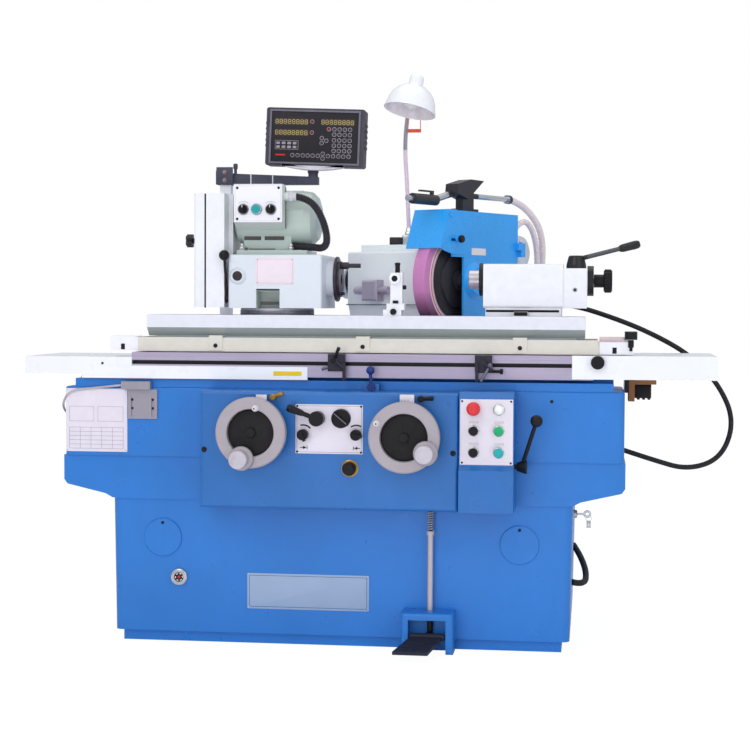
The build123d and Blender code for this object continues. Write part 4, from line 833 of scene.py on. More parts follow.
class GRINDER_OT_handwheels(bpy.types.Operator):
    """Cover discs, crank pins, grip caps, index tabs and bearing flanges of the two handwheels"""
    bl_idname = "grinder.handwheels"
    bl_label = "Handwheel trim"

    def execute(self, context):
        for side, body, (x, z), (px, pz), (gx, gz), (t0, t1, tz) in (
            ("left", "table_handwheel", LEFT_WHEEL, (16, 72), (-24, -74), (6, 38, 79)),
            ("right", "infeed_handwheel", RIGHT_WHEEL, (-78, 41), (64, -43), (-18, 24, 92)),
        ):
            hub, pin, grip = (x, HAND_Y, z), (x + px, HAND_Y, z + pz), (x + gx, HAND_Y, z + gz)
            disc = turned(hub, [(24, -9.6), (40, -7.6), (64, -6.2), (67, -5.4), (69, -3.8)], 64)
            nut = turned(hub, [(13.6, -20.4), (15.6, -18.4), (15.6, -9)], 6)
            fit(side + "_hub_disc", [disc, nut], body, moulded("hub_disc_black", (24, 22, 25), 0.55, 260))
            stud = turned(pin, [(4, -42), (7, -39), (8, -32), (7, -27), (9.5, -25), (10, -18)], 24)
            fit(side + "_crank_pin", stud, body, moulded("pin_white", (214, 210, 214), 0.35), "handwheel_metal")
            cap = turned(grip, [(22.6, -85.6), (25.2, -84.4), (26.4, -81.6), (27.4, -78), (27.4, -70)])
            fit(side + "_grip_cap", cap, body, moulded("grip_pale", (186, 180, 190), 0.4), "handwheel_metal")
            # a black disc on the crank pin's end: painted shade in its end hole
            fit(side + "_pin_hole_shade", turned(pin, [(0, -42.6), (2.4, -42.4), (2.8, -41.8)], 14), body)
            left, right, low = x + t0, x + t1, z + tz
            tab = block((left, APRON - 26, low), (right, APRON - 22, low + 30), 0.8, 2)
            post = block((left + 4, APRON - 23, low + 16), (right - 4, APRON + 0.5, low + 26), 0.8, 2)
            printed(side + "_index_tab", [tab, post], "bed", "tab_white", (222, 216, 224))
            marks = [block((left + 4 + 5 * k, APRON - 26.3, low + 4),
                           (left + 4.8 + 5 * k, APRON - 25.9, low + (12 if k % 2 else 16)), 0.1) for k in range(5)]
            fit(side + "_index_marks", marks, "bed")
            flange = ring((x, APRON, z), [(16, -9), (30, -9), (33, -7), (34, 0.3), (16, 0.3)])
            fit(side + "_bearing_flange", flange, "bed", lathed(side + "_flange_steel", (170, 168, 176), (x, APRON, z)),
                "bright_steel")
        return {"FINISHED"}


class GRINDER_OT_apron(bpy.types.Operator):
    """The hydraulic plate with its marks, the small clamp levers, plugs and the oil knob's collar"""
    bl_idname = "grinder.apron"
    bl_label = "Apron plates"

    def execute(self, context):
        box = (-108, 92, 600, 745)
        y = plate("hydraulic_plate", box, APRON, sizes().plate / MM, "bed", satin(), corner=2)
        marks = [border(-104, 88, 604, 741, y, 0.8, 0.25),
                 arc((-85, y, 656), 28, 4.4, 0.25, 108, 176), arc((73, y, 657), 28, 4.4, 0.25, 125, 190)]
        for x, way in ((-84, 1), (75, -1)):
            stop = x + 11 * way
            marks += [block((x - 10, y - 0.25, 616.4), (x + 9, y, 618.6), 0.08),
                      block((stop - 0.9, y - 0.25, 612), (stop + 0.9, y, 623), 0.08),
                      rod((x - way, y - 0.12, 617.5), (x + 9 * way, y - 0.12, 617.5), 4.8, 0.3, 0.05, 4)]
        fit("hydraulic_marks", marks, "bed")
        screws("hydraulic_screws", corners(box, 5), y, 3.6, "bed")
        screws("apron_plugs", [(-383, 607), (357, 607)], APRON, 8.5, "bed")
        oil = (54, APRON, 558)
        collar = ring(oil, [(13, -10), (21, -10), (23, -8), (23, -3), (25, -2), (25, 0.3), (13, 0.3)], 36)
        fit("oil_collar", collar, "bed", lathed("collar_brass", (208, 158, 52), oil, 0.3, 0.8), "brass_knob")
        brass = lathed("lever_brass", (176, 138, 60), (-173, APRON, 765), 0.35, 0.8)
        for name, x, tip_x, tip_z, mat, slot in (("left", -173, -142, 777, brass, "brass_knob"),
                                                 ("right", 263, 300, 768, black(), "black_plastic")):
            hub = turned((x, APRON, 765), [(7, -24), (9.5, -21), (10, -6), (8, -4), (8, 0.4)], 28)
            arm = rod((x, APRON - 15, 765), (tip_x, APRON - 19, tip_z), 5, 7, 1.5)
            fit(name + "_clamp_lever", [hub, arm], "bed", mat, slot)
        printed("speed_pointer", block((28, APRON - 31.8, 681), (30, APRON - 30.9, 729), 0.2), "speed_knob",
                "pointer_grey", (122, 120, 132), place=about((29, 0, 705), -50))
        return {"FINISHED"}


class GRINDER_OT_buttons(bpy.types.Operator):
    """The button plate, its rings and its white lamp"""
    bl_idname = "grinder.buttons"
    bl_label = "Button plate"

    def execute(self, context):
        box = (377, 531, 575, 766)
        y = plate("button_plate", box, APRON - 2, sizes().plate / MM, "bed", satin())
        left, right = BUTTON_X
        buttons = [(x, z) for z in BUTTON_Z for x in BUTTON_X]
        rims = [(left, 739, 15, 3.2), (right, 736, 17, 7.6)] + [(x, z, 16.5, 3.2) for x, z in buttons]
        shiny("button_rings", [ring((x, y, z), [(9.6, -h), (r - 2.5, -h), (r - 0.6, 1.2 - h), (r, 2 - h), (r, 0.3),
                                                (9.6, 0.3)], 36) for x, z, r, h in rims], "bed")
        lamp = turned((right, y, 736), [(0, -16), (6, -15.4), (11, -13), (13.5, -9), (14, -6), (9, -6)], 36)
        fit("pilot_lamp", lamp, "bed", moulded("lamp_white", (236, 238, 240), 0.2), "white_paint")
        bars = [block((x - 15, y - 0.3, z + 22), (x + 15, y, z + 29), 0.1) for x, z in buttons]
        printed("button_labels", bars, "bed", "label_blank", (206, 200, 208))
        screws("button_screws", corners(box, 6), y, 3.4, "bed")
        return {"FINISHED"}


class GRINDER_OT_bed_trim(bpy.types.Operator):
    """Bare plate, chart sheet, oil sight glass, lock and keys, small bolts and plugs on the bed"""
    bl_idname = "grinder.bed_trim"
    bl_label = "Bed trim"

    def execute(self, context):
        box = (-282, 93, 109, 218)
        y = plate("bare_plate", box, TRUNK_FACE, 2, "bed", ground("plate_blue", (178, 198, 226), ALONG, 0.5, 0.05), 0.5)
        fit("bare_plate_border", border(-276, 87, 115, 212, y, 1.6, 0.4), "bed", enamel("border_blue", (60, 96, 150)),
            "bed_blue")
        screws("bare_plate_screws", corners(box, 4.2), y, 2.8, "bed", shiny)
        box = (-849, -655, 583, 777)
        y = plate("chart_sheet", box, BED_FACE, 1.2, "bed", paper("chart_white", (226, 218, 230)), 0.3)
        rules = [block((-838, y - 0.3, 592 + 13 * k), (-668, y, 592.8 + 13 * k), 0.1) for k in range(6)]
        rules += [block((-838 + 34 * k, y - 0.3, 592), (-837.2 + 34 * k, y, 657.8), 0.1) for k in range(6)]
        rules += [border(x0, x1, 676, 722, y, 0.8, 0.3) for x0, x1 in ((-838, -760), (-748, -668))]
        printed("chart_rules", rules, "bed", "chart_ink", (126, 120, 136))
        screws("chart_screws", corners(box, 5), y, 2.6, "bed", shiny)
        x, y, z = sight = (-494, TRUNK_FACE, 201)
        fit("sight_rim", ring(sight, [(15, -12), (22, -12), (25, -10), (26, -5), (26, 0.3), (15, 0.3)]), "bed",
            lathed("sight_metal", (206, 206, 210), sight), "bright_steel")
        fit("sight_glass", turned(sight, [(0, -8.5), (8, -8.3), (15.4, -7), (15.4, -3)]), "bed",
            moulded("sight_black", (30, 30, 36), 0.15))
        spokes = [arc((x, y - 8.2, z), 11, 3, 0.5, 20 + 60 * k, 50 + 60 * k, 5) for k in range(6)]
        printed("sight_marks", spokes, "bed", "sight_white", (226, 226, 230))
        fit("sight_eye", turned(sight, [(0, -10), (3, -9.8), (4.5, -8.6), (4.5, -8)], 20), "bed",
            moulded("sight_red", (196, 44, 40), 0.3), "red_plastic")
        lock = (704, -300, 404)
        fit("side_lock", turned(lock, [(9, 12), (12, 10), (13, 2), (15, 0), (0, -0.6)], 30, "X"), "bed",
            lathed("lock_metal", (196, 196, 202), lock, axis="X"), "bright_steel")
        shiny("side_keys", [
            block((716, -301, 400.5), (738, -299, 407.5), 0.4),
            ring((746, -300, 404), [(5, -1.2), (11, -1.2), (12, 0), (11, 1.2), (5, 1.2)], 28),
            ring((750, -300, 392), [(8.2, -0.8), (9.8, -0.8), (9.8, 0.8), (8.2, 0.8)], 28),
            block((744, -301, 362), (757, -299.6, 384), 0.5, 2)], "bed")
        lugs = [block((893 + 16 * k, -256, 752.6), (901 + 16 * k, -204, 758), 0.8, 2) for k in range(3)]
        fit("rod_bracket_block", [block((885.2, -258.5, 757.4), (935.5, -201.5, 799.8), 2, 2)] + lugs, "bed")
        plug = [(0, -0.6), (4, -0.8), (5.2, -0.4), (5.4, 0.3)]
        fit("bed_plug", turned((638.4, BED_FACE, 753.5), plug, 20), "bed")
        head = [(3.2, -0.4), (4.4, 0.6), (4.4, 3)]
        fit("round_cover_screws", [turned((x, TRUNK_FACE - 5, 366.8), head, 16) for x in (-546, 546)], "bed")
        bolt = [(2.6, -3.6), (3.6, -3), (3.6, 0.3)]
        fit("reader_bolts", [turned((x, BED_FACE - 2.2, z), bolt, 12) for x in (-638, -574) for z in (718, 744)], "bed")
        fit("reader_head", block((-667, -462.2, 777), (-578, -461, 800)), "bed", reader_steel(), "bright_steel")
        return {"FINISHED"}


class GRINDER_OT_workhead(bpy.types.Operator):
    """Control panel, bare label, hub button, cover seam, motor ribs and base scale of the workhead"""
    bl_idname = "grinder.workhead"
    bl_label = "Workhead trim"

    def execute(self, context):
        body = "workhead"
        box = (-331, -183, 1287, 1401)
        y = plate("control_panel", box, PANEL, 1.4, body, paper("panel_white", (238, 236, 244), 0.03))
        screws("control_screws", corners(box, 10), y, 4.2, body)
        rim = [(14.4, -1.6), (17, -1.6), (18, -0.6), (18, 0.2), (14.4, 0.2)]
        shiny("selector_rings", [ring((x, y, SELECT_Z), rim, 32) for x in (SELECT_L, JOG_X, SELECT_R)], body)
        marks = [arc((x, y, SELECT_Z), 24, 1.4, 0.25, 130, 210, 8) for x in (SELECT_L, SELECT_R)]
        marks.append(border(-327, -187, 1291, 1397, y, 0.6, 0.2))
        printed("control_marks", marks, body, "panel_ink", (188, 184, 196))
        for name, x in (("selector_left", SELECT_L), ("selector_right", SELECT_R)):
            line = block((x - 1, PANEL - 22.6, 1331), (x + 1, PANEL - 21.8, 1338.6), 0.2)
            printed(name + "_line", line, name, "pointer_white", (230, 230, 234))
        box = (-268, -150, 1098, 1180)
        y = plate("work_label", box, WORK_FACE, 1.4, body, paper("label_rose", (236, 222, 232), 0.05), 0.3, 2)
        printed("work_label_line", border(-264, -154, 1102, 1176, y, 0.7, 0.2), body, "label_red", (206, 120, 130))
        screws("work_label_screws", corners(box, 5), y, 2.8, body, shiny)
        hub = (-324, WORK_FACE, 1124)
        fit("work_button_boss", ring(hub, [(15, -9), (20, -9), (24, -5), (27, 0.5), (15, 0.5)]), body, head_enamel(),
            "head_green")
        fit("work_button", turned(hub, [(11, -15), (14, -13), (15, -10), (15, -3)], 36), body,
            moulded("button_umber", (52, 44, 48), 0.35))
        # black strips in the gaps beside the belt cover and the control box: painted shade
        fit("belt_cover_gap_shade", [block((-431, -365.6, 1026), (-426, -364.6, 1376.5)),
                                block((-182.4, -345, 1270), (-180.8, -338, 1396))], body)
        ribs = []
        for k in range(9):
            a = radians(18 + 18 * k)
            y, z = AXIS_Y + 85 * cos(a), 1305 + 85 * sin(a)
            ribs.append(rod((-318, y, z), (-140, y, z), 2.6, None, 0.8, 8))
        fit("motor_ribs", ribs, body, motor_enamel(), "head_green")
        bolt = [(4, 20), (5, 18), (5, 10), (8.5, 10), (9, 8.6), (9, 1.6), (12, 1.5), (12, -0.3)]
        shiny("motor_bolts", [turned((x, -322, 1204), bolt, 6, "Z") for x in (-322, -168)], body)
        # dark blocks at the back of the pedestal's windows and gaps: painted shade
        gaps = [block((-318, -308, 1236), (-265, -306, 1262), 0.4), block((-254, -308, 1236), (-192, -306, 1262), 0.4),
                block((-299, -341.2, 1205.6), (-214, -339.6, 1209), 0.4),
                block((-310, -341.2, 1203.6), (-300, -339.6, 1212), 0.4),
                block((-258, -352, 1036), (-194, -348, 1046), 0.6)]
        fit("pedestal_gaps", gaps, body, moulded("gap_umber", (84, 80, 78), 0.7))
        lining = [block((-266.6, -306, 1021), (-194.4, -304.8, 1078.4), 0.2),
                  block((-267.2, -372, 1021), (-266.2, -305.4, 1078.4), 0.2),
                  block((-266.6, -372, 1077.6), (-194.4, -305.4, 1079.2), 0.2)]
        fit("notch_lining", lining, body, motor_enamel(), "head_green")
        band = ring((WORK_X, AXIS_Y, 0), [(112, 1005.6), (115.1, 1005.6), (115.5, 1006.4), (115.5, 1018.4),
                                          (115.1, 1019.2), (112, 1019.2)], 96, "Z")
        fit("base_ring", band, "swivel_table", ground("ring_steel", (142, 144, 152), ALONG, 0.4, 0.1), "bright_steel")
        ticks = []
        for k in range(21):
            a = radians(-90 + 4 * (k - 10))
            x, y = WORK_X + 115.6 * cos(a), AXIS_Y + 115.6 * sin(a)
            ticks.append(rod((x, y, 1008), (x, y, 1013 if k % 5 else 1016), 0.5, None, 0.1, 6))
        fit("base_scale", ticks, "swivel_table")
        nut = ring((-166, -366, 1367), [(9.8, -1), (15, -1), (16.5, 1), (16.5, 12), (14, 14), (13, 22), (9.8, 22)], 10,
                   "X")
        fit("conduit_nut", nut, body, moulded("gland_grey", (196, 194, 204), 0.4), "white_paint")
        return {"FINISHED"}


class GRINDER_OT_tables(bpy.types.Operator):
    """Trough screws, dresser clamps, end scale and dog handles of the tables, and the tailstock's flange and grips"""
    bl_idname = "grinder.tables"
    bl_label = "Table and tailstock trim"

    def execute(self, context):
        swivel, tail = "swivel_table", "tailstock"
        head = [(0, -3.4), (4, -3), (6.5, -1), (6.6, 0.4)]
        fit("trough_screws", [turned((x, -428, 911.2), head, 20) for x in (-382, 70, 542)], swivel)
        flange = ring((416, AXIS_Y, AXIS_Z), [(30.5, -7), (49, -7), (51, -5), (51, 0.4), (30.5, 0.4)], 48, "X")
        fit("tail_flange", flange, tail, flange_black())
        knurl = []
        for k in range(24):
            a = 2 * pi * k / 24
            y, z = AXIS_Y + 33.6 * cos(a), 1114 + 33.6 * sin(a)
            knurl.append(rod((791, y, z), (811, y, z), 2.2, None, 0.7, 8))
        fit("tail_grips", knurl, "tail_knob")
        oiler = (702, -324, 1086)
        fit("tail_clamp_and_shadow_strip", [
            block((518.5, -342.6, 1005.2), (561.5, -321, 1019.6), 3, 3),
            # a black strip between the tailstock's foot and body: painted shadow
            block((434, -323, 1017.5), (655, -321.4, 1024.6), 0.5),
            turned(oiler, [(3.4, -2.2), (3.8, -1.4), (3.8, 0.2)], 18)], tail)
        shiny("tail_oiler_cup", ring(oiler, [(4, -1.6), (6.4, -1.6), (7.2, -0.6), (7.2, 0.3), (4, 0.3)], 24), tail)
        dial = (163, -402, AXIS_Z)
        collar = ring(dial, [(9.4, -3.6), (14, -3.6), (17, -2), (17.4, 0.4), (17.4, 6), (9.4, 6)], 36)
        fit("dresser_collar", collar, swivel, white_enamel(), "white_paint")
        fit("dresser_screws", [
            turned(dial, [(5, -6), (8.6, -4.6), (9.5, -3), (9.5, 0.6)], 28),
            block((157, -399.6, 1042), (174, -397.6, 1051), 0.6, 2),
            turned((160, -404, 1017), [(8, -9), (10, -7), (10, -3), (6, -2), (6, 2)], 10),
            turned((168, -370, 1135), [(5, 31), (8.6, 29.4), (8.6, 24), (7.4, 22), (7.4, 0)], 12, "Z"),
            turned((185, -380, 1091), [(5, 11), (6.4, 9.4), (6.4, -0.5)], 8, "X")], swivel)
        printed("swivel_scale", block((776, -416.2, 931), (848, -409, 946.6), 0.4, 2), swivel, "scale_rose",
                (206, 186, 192))
        ticks = [block((780 + 5 * k, -416.6, 932), (780.6 + 5 * k, -416, 937 if k % 3 else 940), 0.05)
                 for k in range(13)]
        ticks += [block((x, -415.8, 897), (x + 12.4, -414.4, 915), 0.4) for x in (-681, 815)]
        fit("swivel_ticks", ticks, swivel)
        cap = turned((869, -416, 0), [(16.6, 963.6), (18.6, 962), (18.8, 940), (17.6, 937.7), (8.6, 937.4),
                                      (8.6, 916), (4.6, 914.6), (4.6, 904.7)], 20, "Z")
        fit("swivel_knob", cap, swivel)
        knob = turned((772, -445, 871), [(0, -20.6), (6, -20.8), (17.6, -20.2), (19.6, -19.4), (20, -17.4), (20, -3),
                                         (18.6, -1)], 36)
        plug = turned((-732, -442, 855), [(3.4, -0.8), (4, -0.2), (4, 0.3)], 16)
        fit("way_cover_knob", [knob, plug], "table")
        fit("dog_handles", [
            rod((-12, -472, 871), (7, -484, 910), 4, 5.4, 1.5),
            turned((-12, -466, 871), [(7, -12), (8.6, -10), (8.6, 0.5)], 20),
            turned((480, -455, 842), [(6, 14), (8, 12), (8, 6), (4.4, 4), (4.4, -24)], 14, "X")],
            "table")
        fit("dog_levers", [
            rod((456, -474, 859), (430, -486, 812), 4, 5.2, 1.5),
            turned((456, -466, 859), [(5, -13), (6.6, -11), (8, -9), (8, 0.5)], 20),
            rod((-50, -458, 843), (-14, -458, 856), 4.4, None, 1.2)],
            "table", ground("dog_steel", (122, 118, 140), UP, 0.35, 0.1), "bright_steel")
        tab = block((-199, -447, 822.6), (-113, -445.8, 835.6), corner=1.6)
        fit("cover_plate", tab, "table", paper("plate_yellow", (236, 198, 36)), "brass_knob")
        return {"FINISHED"}


class GRINDER_OT_wheel_trim(bpy.types.Operator):
    """Paper ring of the wheel, guard label, hood knob, door pins and wheelhead seam, made along the spindle"""
    bl_idname = "grinder.wheel_trim"
    bl_label = "Wheel and guard trim"

    def execute(self, context):
        disc = ring((252.5, -60, AXIS_Z), [(125.2, 0), (125.2, 0.8), (144, 0.8), (145, 0)], 96, "X")
        printed("wheel_paper", disc, "wheel_spindle", "ring_pale", (236, 224, 234), 0.10, HEAD)
        lines = [ring((253.3, -60, AXIS_Z), [(r, 0), (r, 0.2), (r + w, 0.2), (r + w, 0)], 96, "X")
                 for r, w in ((127, 1.6), (135, 5))]
        fit("wheel_paper_lines", lines, "wheel_spindle", paper("ring_red", (222, 112, 112)), "red_plastic", HEAD)
        x = GUARD_SIDE
        printed("guard_label", block((x, -30, 1200), (x + 0.7, 52, 1222), 0.2), "guard_door", "label_blank_white",
                (236, 226, 228), place=HEAD)
        knob = turned((x + 4, -120, 1248), [(9, 26), (12, 23), (12, 14), (8, 10), (7, 0)], 14, "X")
        fit("hood_knob", [knob, block((x + 3.6, -150, 1242), (x + 4.6, -126, 1250), 0.2)], "guard_hood", place=HEAD)
        pin = [(4.5, 4), (6.4, 2), (6.4, 0)]
        shiny("door_pins", [turned((x + 4, 259, z), pin, 16, "Z") for z in (1042, 1250)], "wheelhead", HEAD)
        fit("head_seam", block((-141.6, -130.6, 1036), (160.4, -129.6, 1040)), "wheelhead",
            moulded("seam_grey", (128, 136, 142), 0.5), "head_green", HEAD)
        return {"FINISHED"}


class GRINDER_OT_lamp(bpy.types.Operator):
    """The work lamp: base, flexible neck, spun shade, bulb and tag"""
    bl_idname = "grinder.lamp"
    bl_label = "Work lamp"

    def execute(self, context):
        body = "wheelhead"
        neck = ribbed_cord("lamp_neck", [(150, 110, 1275), (144, 110, 1424), (132, 124, 1565), (138, 170, 1685),
                                         (154, 180, 1759), (168, 130, 1787), (178, 74, 1773)], 7, 4.0, 0.9)[0]
        sleeved = banded("neck_finish", "Z", [(1270, (236, 214, 230), 0, 0.4), (1548, (176, 172, 186), 0.8, 0.3)], 1800)
        fit("lamp_neck", neck, body, sleeved, "lamp_metal", angle=ROUND)
        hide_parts("work_lamp")
        fit("lamp_base", block((88, 86, 1235), (130, 134, 1261), 3, 3), body,
            moulded("lamp_base_black", (52, 48, 54), 0.45))
        nut = turned((150, 110, 1268), [(14, 0), (14, 8), (11, 12), (9, 26)], 6, "Z")
        shiny("lamp_clamp", [block((129, 92, 1235), (162, 128, 1269), 4, 3), nut], body)
        tilt = Matrix.Rotation(radians(-11), 4, "X") @ Matrix.Rotation(radians(11), 4, "Y")
        place = Matrix.Translation((0.180, 0.070, 1.787)) @ tilt
        for name, make, mat, slot, angle, steps, outline in (
            ("lamp_shade", turned, spun("shade_spun", (250, 251, 255)), "lamp_metal", ROUND, 72,
             [(0, 0), (16, -0.4), (21, -3), (23, -8), (24, -30), (27, -36), (40, -41), (56, -52), (69, -67), (78, -88),
              (83, -110), (86, -121), (86, -122.4), (84.6, -122), (81, -108), (76, -88), (67, -68), (54, -54),
              (39, -43.6), (20, -38), (0, -37.4)]),
            ("lamp_lining", ring, moulded("lining_white", (240, 232, 238), 0.45), "white_paint", ROUND, 72,
             [(22, -39), (39, -44.4), (54, -55), (66.4, -69), (75.2, -89), (80.2, -108.6), (83.4, -121.4),
              (82.4, -121.4), (79, -108.8), (74, -89.4), (65.4, -69.8), (53.4, -56), (38.6, -45.6), (22, -40.2)]),
            ("lamp_bulb", turned, moulded("bulb_white", (240, 238, 236), 0.2), "white_paint", 1.2, 36,
             [(12, -38), (12.6, -54), (18, -64), (25, -78), (27, -90), (24, -102), (16, -111), (0, -115)]),
        ):
            fit(name, make((0, 0, 0), outline, steps, "Z"), body, mat, slot, place, angle)
        tag = [block((141, 130, 1608), (186, 132, 1620), 0.5, 2)]
        tag += [rod((x, 131, 1614), (x - 1, 131, 1654), 1.4, 1.4, 0.3, 10) for x in (142.6, 184.4)]
        fit("lamp_tag", tag, body, moulded("tag_orange", (236, 96, 60), 0.4), "red_plastic")
        return {"FINISHED"}


class GRINDER_OT_readout(bpy.types.Operator):
    """Bezel, windows, unlit figures, keys, side ribs and lip of the readout, and the ties on its arm"""
    bl_idname = "grinder.readout"
    bl_label = "Readout"

    def execute(self, context):
        lean = about((-136.5, 0, 1575), 2)

        def mounted(name, pieces, mat, slot="black_plastic"):
            fit(name, pieces, "readout_console", mat, slot, lean)

        face, y = -69, -70.6  # front of the shell, front of the panel on it
        mounted("readout_panel", block((-279, y, 1494), (4, face, 1656), 0.4, 2, 4),
                moulded("panel_black", (38, 35, 40), 0.5, 240, 0.05))
        mounted("readout_rim", border(-285, 10, 1488, 1662, face, 6, 5), moulded("rim_grey", (112, 108, 122), 0.45),
                "console_grey")
        panes = [block((x0, y - 0.5, z0), (x1, y, z1), 0.2) for x0, z0, x1, z1 in
                 ((-268, 1613, -158, 1634), (-268, 1578, -158, 1599), (-118, 1614, -9, 1635))]
        mounted("readout_windows", panes, moulded("window_dim", (70, 62, 60), 0.2))
        fx, fz, w, h = -262, 1623.5, 8.6, 13  # first figure: its middle and its size
        strokes = [(0, dz, w / 2 - 1, 0.8) for dz in (h / 2, 0, -h / 2)]
        strokes += [(dx, dz, 0.8, h / 4 - 0.6) for dx in (-w / 2, w / 2) for dz in (-h / 4, h / 4)]
        first = joined([block((fx + dx - rx, y - 0.9, fz + dz - rz), (fx + dx + rx, y - 0.4, fz + dz + rz), 0.1)
                        for dx, dz, rx, rz in strokes])
        figures = [first] + [copied(first, (sx + 13.6 * k, 0, sz)) for sx, sz in ((0, 0), (0, -35), (150, 1))
                             for k in range(8) if sx or sz or k]
        mounted("readout_figures", figures, moulded("figure_amber", (196, 172, 104), 0.35), "brass_knob")
        kx, kz = -74, 1585  # first key
        key = block((kx - 6.6, y - 1.6, kz - 6.6), (kx + 6.6, y, kz + 6.6), 0.7, 2, 5.4)
        cap = block((kx - 5, y - 2.2, kz - 5), (kx + 5, y - 1.2, kz + 5), 0.4, 1, 4)
        places = [(x, z) for z in (1585, 1567, 1550, 1533, 1602) for x in (-74, -57, -40, -23)]
        places += [(x, 1516) for x in (-208, -191, -174, -158, -142, -125, -92, -75, -58, -42, -25)]
        places += [(-114, 1573), (-114, 1557), (-99, 1565), (-109, 1523), (-109, 1508)]
        red_places = [(-147, 1625), (-147, 1590), (-92, 1602)]

        def copies(o, spots, out=0):
            return [copied(o, (x - kx, out, z - kz)) for x, z in spots]

        keys = [key] + copies(key, places[1:] + red_places)
        reds = copies(cap, red_places, -0.4)
        mounted("readout_keys", keys, key_rim(), "console_grey")
        mounted("readout_key_caps", [cap] + copies(cap, places[1:]), moulded("key_dark", (58, 54, 60), 0.4))
        mounted("readout_red_keys", reds, moulded("key_red", (120, 34, 44), 0.35), "red_plastic")
        dots = [block((-262 + 18 * k, y - 0.7, z), (-250 + 18 * k, y, z + 8), corner=2)
                for k in range(4) for z in (1538, 1550.5)]
        mounted("readout_box", [border(-266, -190, 1534, 1563, y, 1.2, 0.5)] + dots, key_rim(), "console_grey")
        mounted("readout_red_bar", block((-264, y - 0.6, 1514), (-232, y, 1519), 0.2),
                moulded("bar_red", (204, 48, 44), 0.35), "red_plastic")
        ribs = [block((x0, -58, z), (x1, -20, z + 9), 2, 2) for x0, x1 in ((-301, -294), (21, 28))
                for z in range(1542, 1615, 18)]
        mounted("console_ribs", ribs, console_shell(), "console_grey")
        lip = block((-242, -72, 1470), (-38, -30, 1484), 0.8, 2)
        edit(lip)
        pick_all()
        bpy.ops.mesh.subdivide(number_cuts=12)
        done_editing()
        for v in lip.data.vertices:
            if v.co.z < 1.48:  # its lower edge bows up towards both ends
                v.co.z += 0.012 * ((v.co.x / MM + 140) / 102) ** 2
        mounted("console_lip", lip, moulded("lip_pale", (214, 208, 216), 0.35), "white_paint")
        arm = "readout_arm"
        ties = [block((x, -37, 1424.8), (x + 4, -5, top), 0.8) for x, top in ((-355, 1461), (-283, 1458))]
        printed("arm_ties", ties, arm, "tie_white", (228, 228, 234))
        fit("arm_clamp", [
            block((-465, -50.6, 1426.6), (-410, -47.2, 1483), 1.2, 2),
            block((-466.6, -50, 1426.6), (-463.3, 6, 1472), 1, 2),
            turned((-404, -36, 1462), [(5, 33), (7.4, 30), (7.6, 18), (5, 14), (5, 0)], 14, "Z")],
            arm, arm_slate(), "black_steel")
        nut = [(4, -7), (4.6, -6), (4.6, -3), (7.6, -2.6), (8, -2), (8, 0.3)]
        fit("arm_clamp_nuts", [turned((-437, -50.6, z), nut, 6) for z in (1440, 1466)], arm,
            ground("nut_bronze", (168, 138, 134), UP, 0.4, 0.1), "bright_steel")
        fit("arm_cap", turned((-437, -21, 1476), [(8, 6), (10, 4), (10.4, 0)], 24, "Z"), "bed")
        return {"FINISHED"}


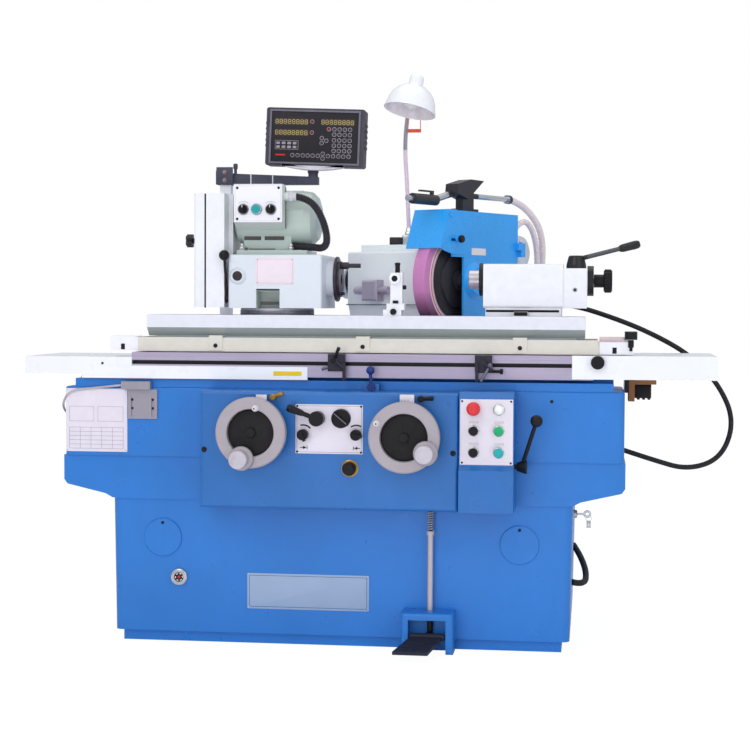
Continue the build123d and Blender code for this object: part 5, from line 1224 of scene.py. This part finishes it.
class GRINDER_OT_stage(bpy.types.Operator):
    """Pale floor, soft light and the camera"""
    bl_idname = "grinder.stage"
    bl_label = "Stage"

    def execute(self, context):
        self.lay_floor()
        self.light_sky(context.scene)
        for name, place, aim, size, watts, mirrored in (
            ("key_light", (-1.7, -4.8, 4.3), (0, -0.3, 0.9), 2.6, 43, True),
            ("fill_light", (3.6, -4.2, 2.4), (0.2, -0.3, 0.8), 3.0, 34, True),
            ("top_light", (0.2, 0.6, 5.0), (0.1, -0.1, 1.0), 3.5, 28, True),
            ("front_light", (0.0, -5.2, 1.7), (0.1, 0, 1.1), 2.0, 22, False),
            ("low_light", (-0.2, -3.4, 0.16), (0, -0.4, 0.0), 1.6, 26, False),
        ):
            only()
            bpy.ops.object.light_add(type="AREA", location=place)
            lamp = context.object
            lamp.name = name
            lamp.data.size = size
            lamp.data.energy = watts
            lamp.visible_glossy = mirrored
            lamp.rotation_euler = (Vector(aim) - Vector(place)).to_track_quat("-Z", "Y").to_euler()
        self.set_camera(context)
        context.scene.view_settings.view_transform = "Standard"
        return {"FINISHED"}

    def lay_floor(self):
        only()
        bpy.ops.mesh.primitive_plane_add(size=40, location=(0, 0, 0))
        floor = settle()
        floor.name = floor.data.name = "floor"
        f = Finish("floor_pale", 0.9)
        f.colour(f.ramp(f.noise(0.6, 2), [(0.2, (0.86, 0.86, 0.86, 1)), (0.8, (0.9, 0.9, 0.9, 1))]))
        seen = f.add("ShaderNodeLightPath")
        most = f.add("ShaderNodeMath", {1: 0.9}, operation="MULTIPLY")
        glow = f.add("ShaderNodeEmission", {"Strength": 1.06})
        f.link(seen.outputs["Is Camera Ray"], most.inputs[0])
        f.mixed(most, f.skin, glow, f.out)
        wear(floor, f.mat)

    def light_sky(self, scene):
        world = bpy.data.worlds.new("studio")
        scene.world = world
        world.use_nodes = True
        n = Nodes(world.node_tree)
        path, seen = n.add("ShaderNodeLightPath"), n.add("ShaderNodeMath", operation="MAXIMUM")
        n.link(path.outputs["Is Camera Ray"], seen.inputs[0])
        n.link(path.outputs["Is Transmission Ray"], seen.inputs[1])
        parts = n.add("ShaderNodeSeparateXYZ")
        n.link(n.add("ShaderNodeTexCoord").outputs["Generated"], parts.inputs[0])
        soft = n.add("ShaderNodeBackground", {"Strength": 0.82})
        n.link(n.ramp(parts.outputs[2], [(0, (0.62, 0.66, 0.72, 1)), (1, (0.97, 0.98, 1.0, 1))]), soft.inputs["Color"])
        plain = n.add("ShaderNodeBackground", {"Color": (1, 1, 1, 1)})
        n.mixed(seen, soft, plain, n.add("ShaderNodeOutputWorld"))

    def set_camera(self, context):
        yaw, pitch, roll = radians(7.3), radians(2.4), radians(0.3)
        eye = (0.7556, -5.4823, 1.0404)
        look = Vector((-sin(yaw) * cos(pitch), cos(yaw) * cos(pitch), -sin(pitch)))
        right = Vector((cos(yaw), sin(yaw), 0))
        up = right.cross(look)
        across, upward = right * cos(roll) + up * sin(roll), up * cos(roll) - right * sin(roll)
        bpy.ops.object.camera_add()
        cam = context.object
        cam.name = "camera"
        cam.data.sensor_width = 36
        cam.data.lens = 81.36
        cam.matrix_world = Matrix([*zip(across, upward, -look, eye), (0, 0, 0, 1)])
        context.scene.camera = cam


STEPS = (GRINDER_OT_stage, GRINDER_OT_paint, GRINDER_OT_cords, GRINDER_OT_handwheels, GRINDER_OT_apron,
         GRINDER_OT_buttons, GRINDER_OT_bed_trim, GRINDER_OT_workhead, GRINDER_OT_tables, GRINDER_OT_wheel_trim,
         GRINDER_OT_lamp, GRINDER_OT_readout)


class GRINDER_PT_panel(bpy.types.Panel):
    """Lists the steps and the values that they use"""
    bl_idname = "GRINDER_PT_panel"
    bl_label = "Grinder"
    bl_space_type = "VIEW_3D"
    bl_region_type = "UI"
    bl_category = "Grinder"

    def draw(self, context):
        for step in STEPS:
            self.layout.operator(step.bl_idname)
        for group in (context.scene.grinder_colours, context.scene.grinder_sizes):
            for key in group.__annotations__:
                self.layout.prop(group, key)


CLASSES = (GrinderColours, GrinderSizes) + STEPS + (GRINDER_PT_panel,)


def register():
    for c in CLASSES:
        bpy.utils.register_class(c)
    bpy.types.Scene.grinder_colours = bpy.props.PointerProperty(type=GrinderColours)
    bpy.types.Scene.grinder_sizes = bpy.props.PointerProperty(type=GrinderSizes)


def unregister():
    del bpy.types.Scene.grinder_colours, bpy.types.Scene.grinder_sizes
    for c in reversed(CLASSES):
        bpy.utils.unregister_class(c)


def main():
    register()
    for step in STEPS:
        getattr(bpy.ops.grinder, step.bl_idname.split(".")[1])()


if __name__ == "__main__":
    main()
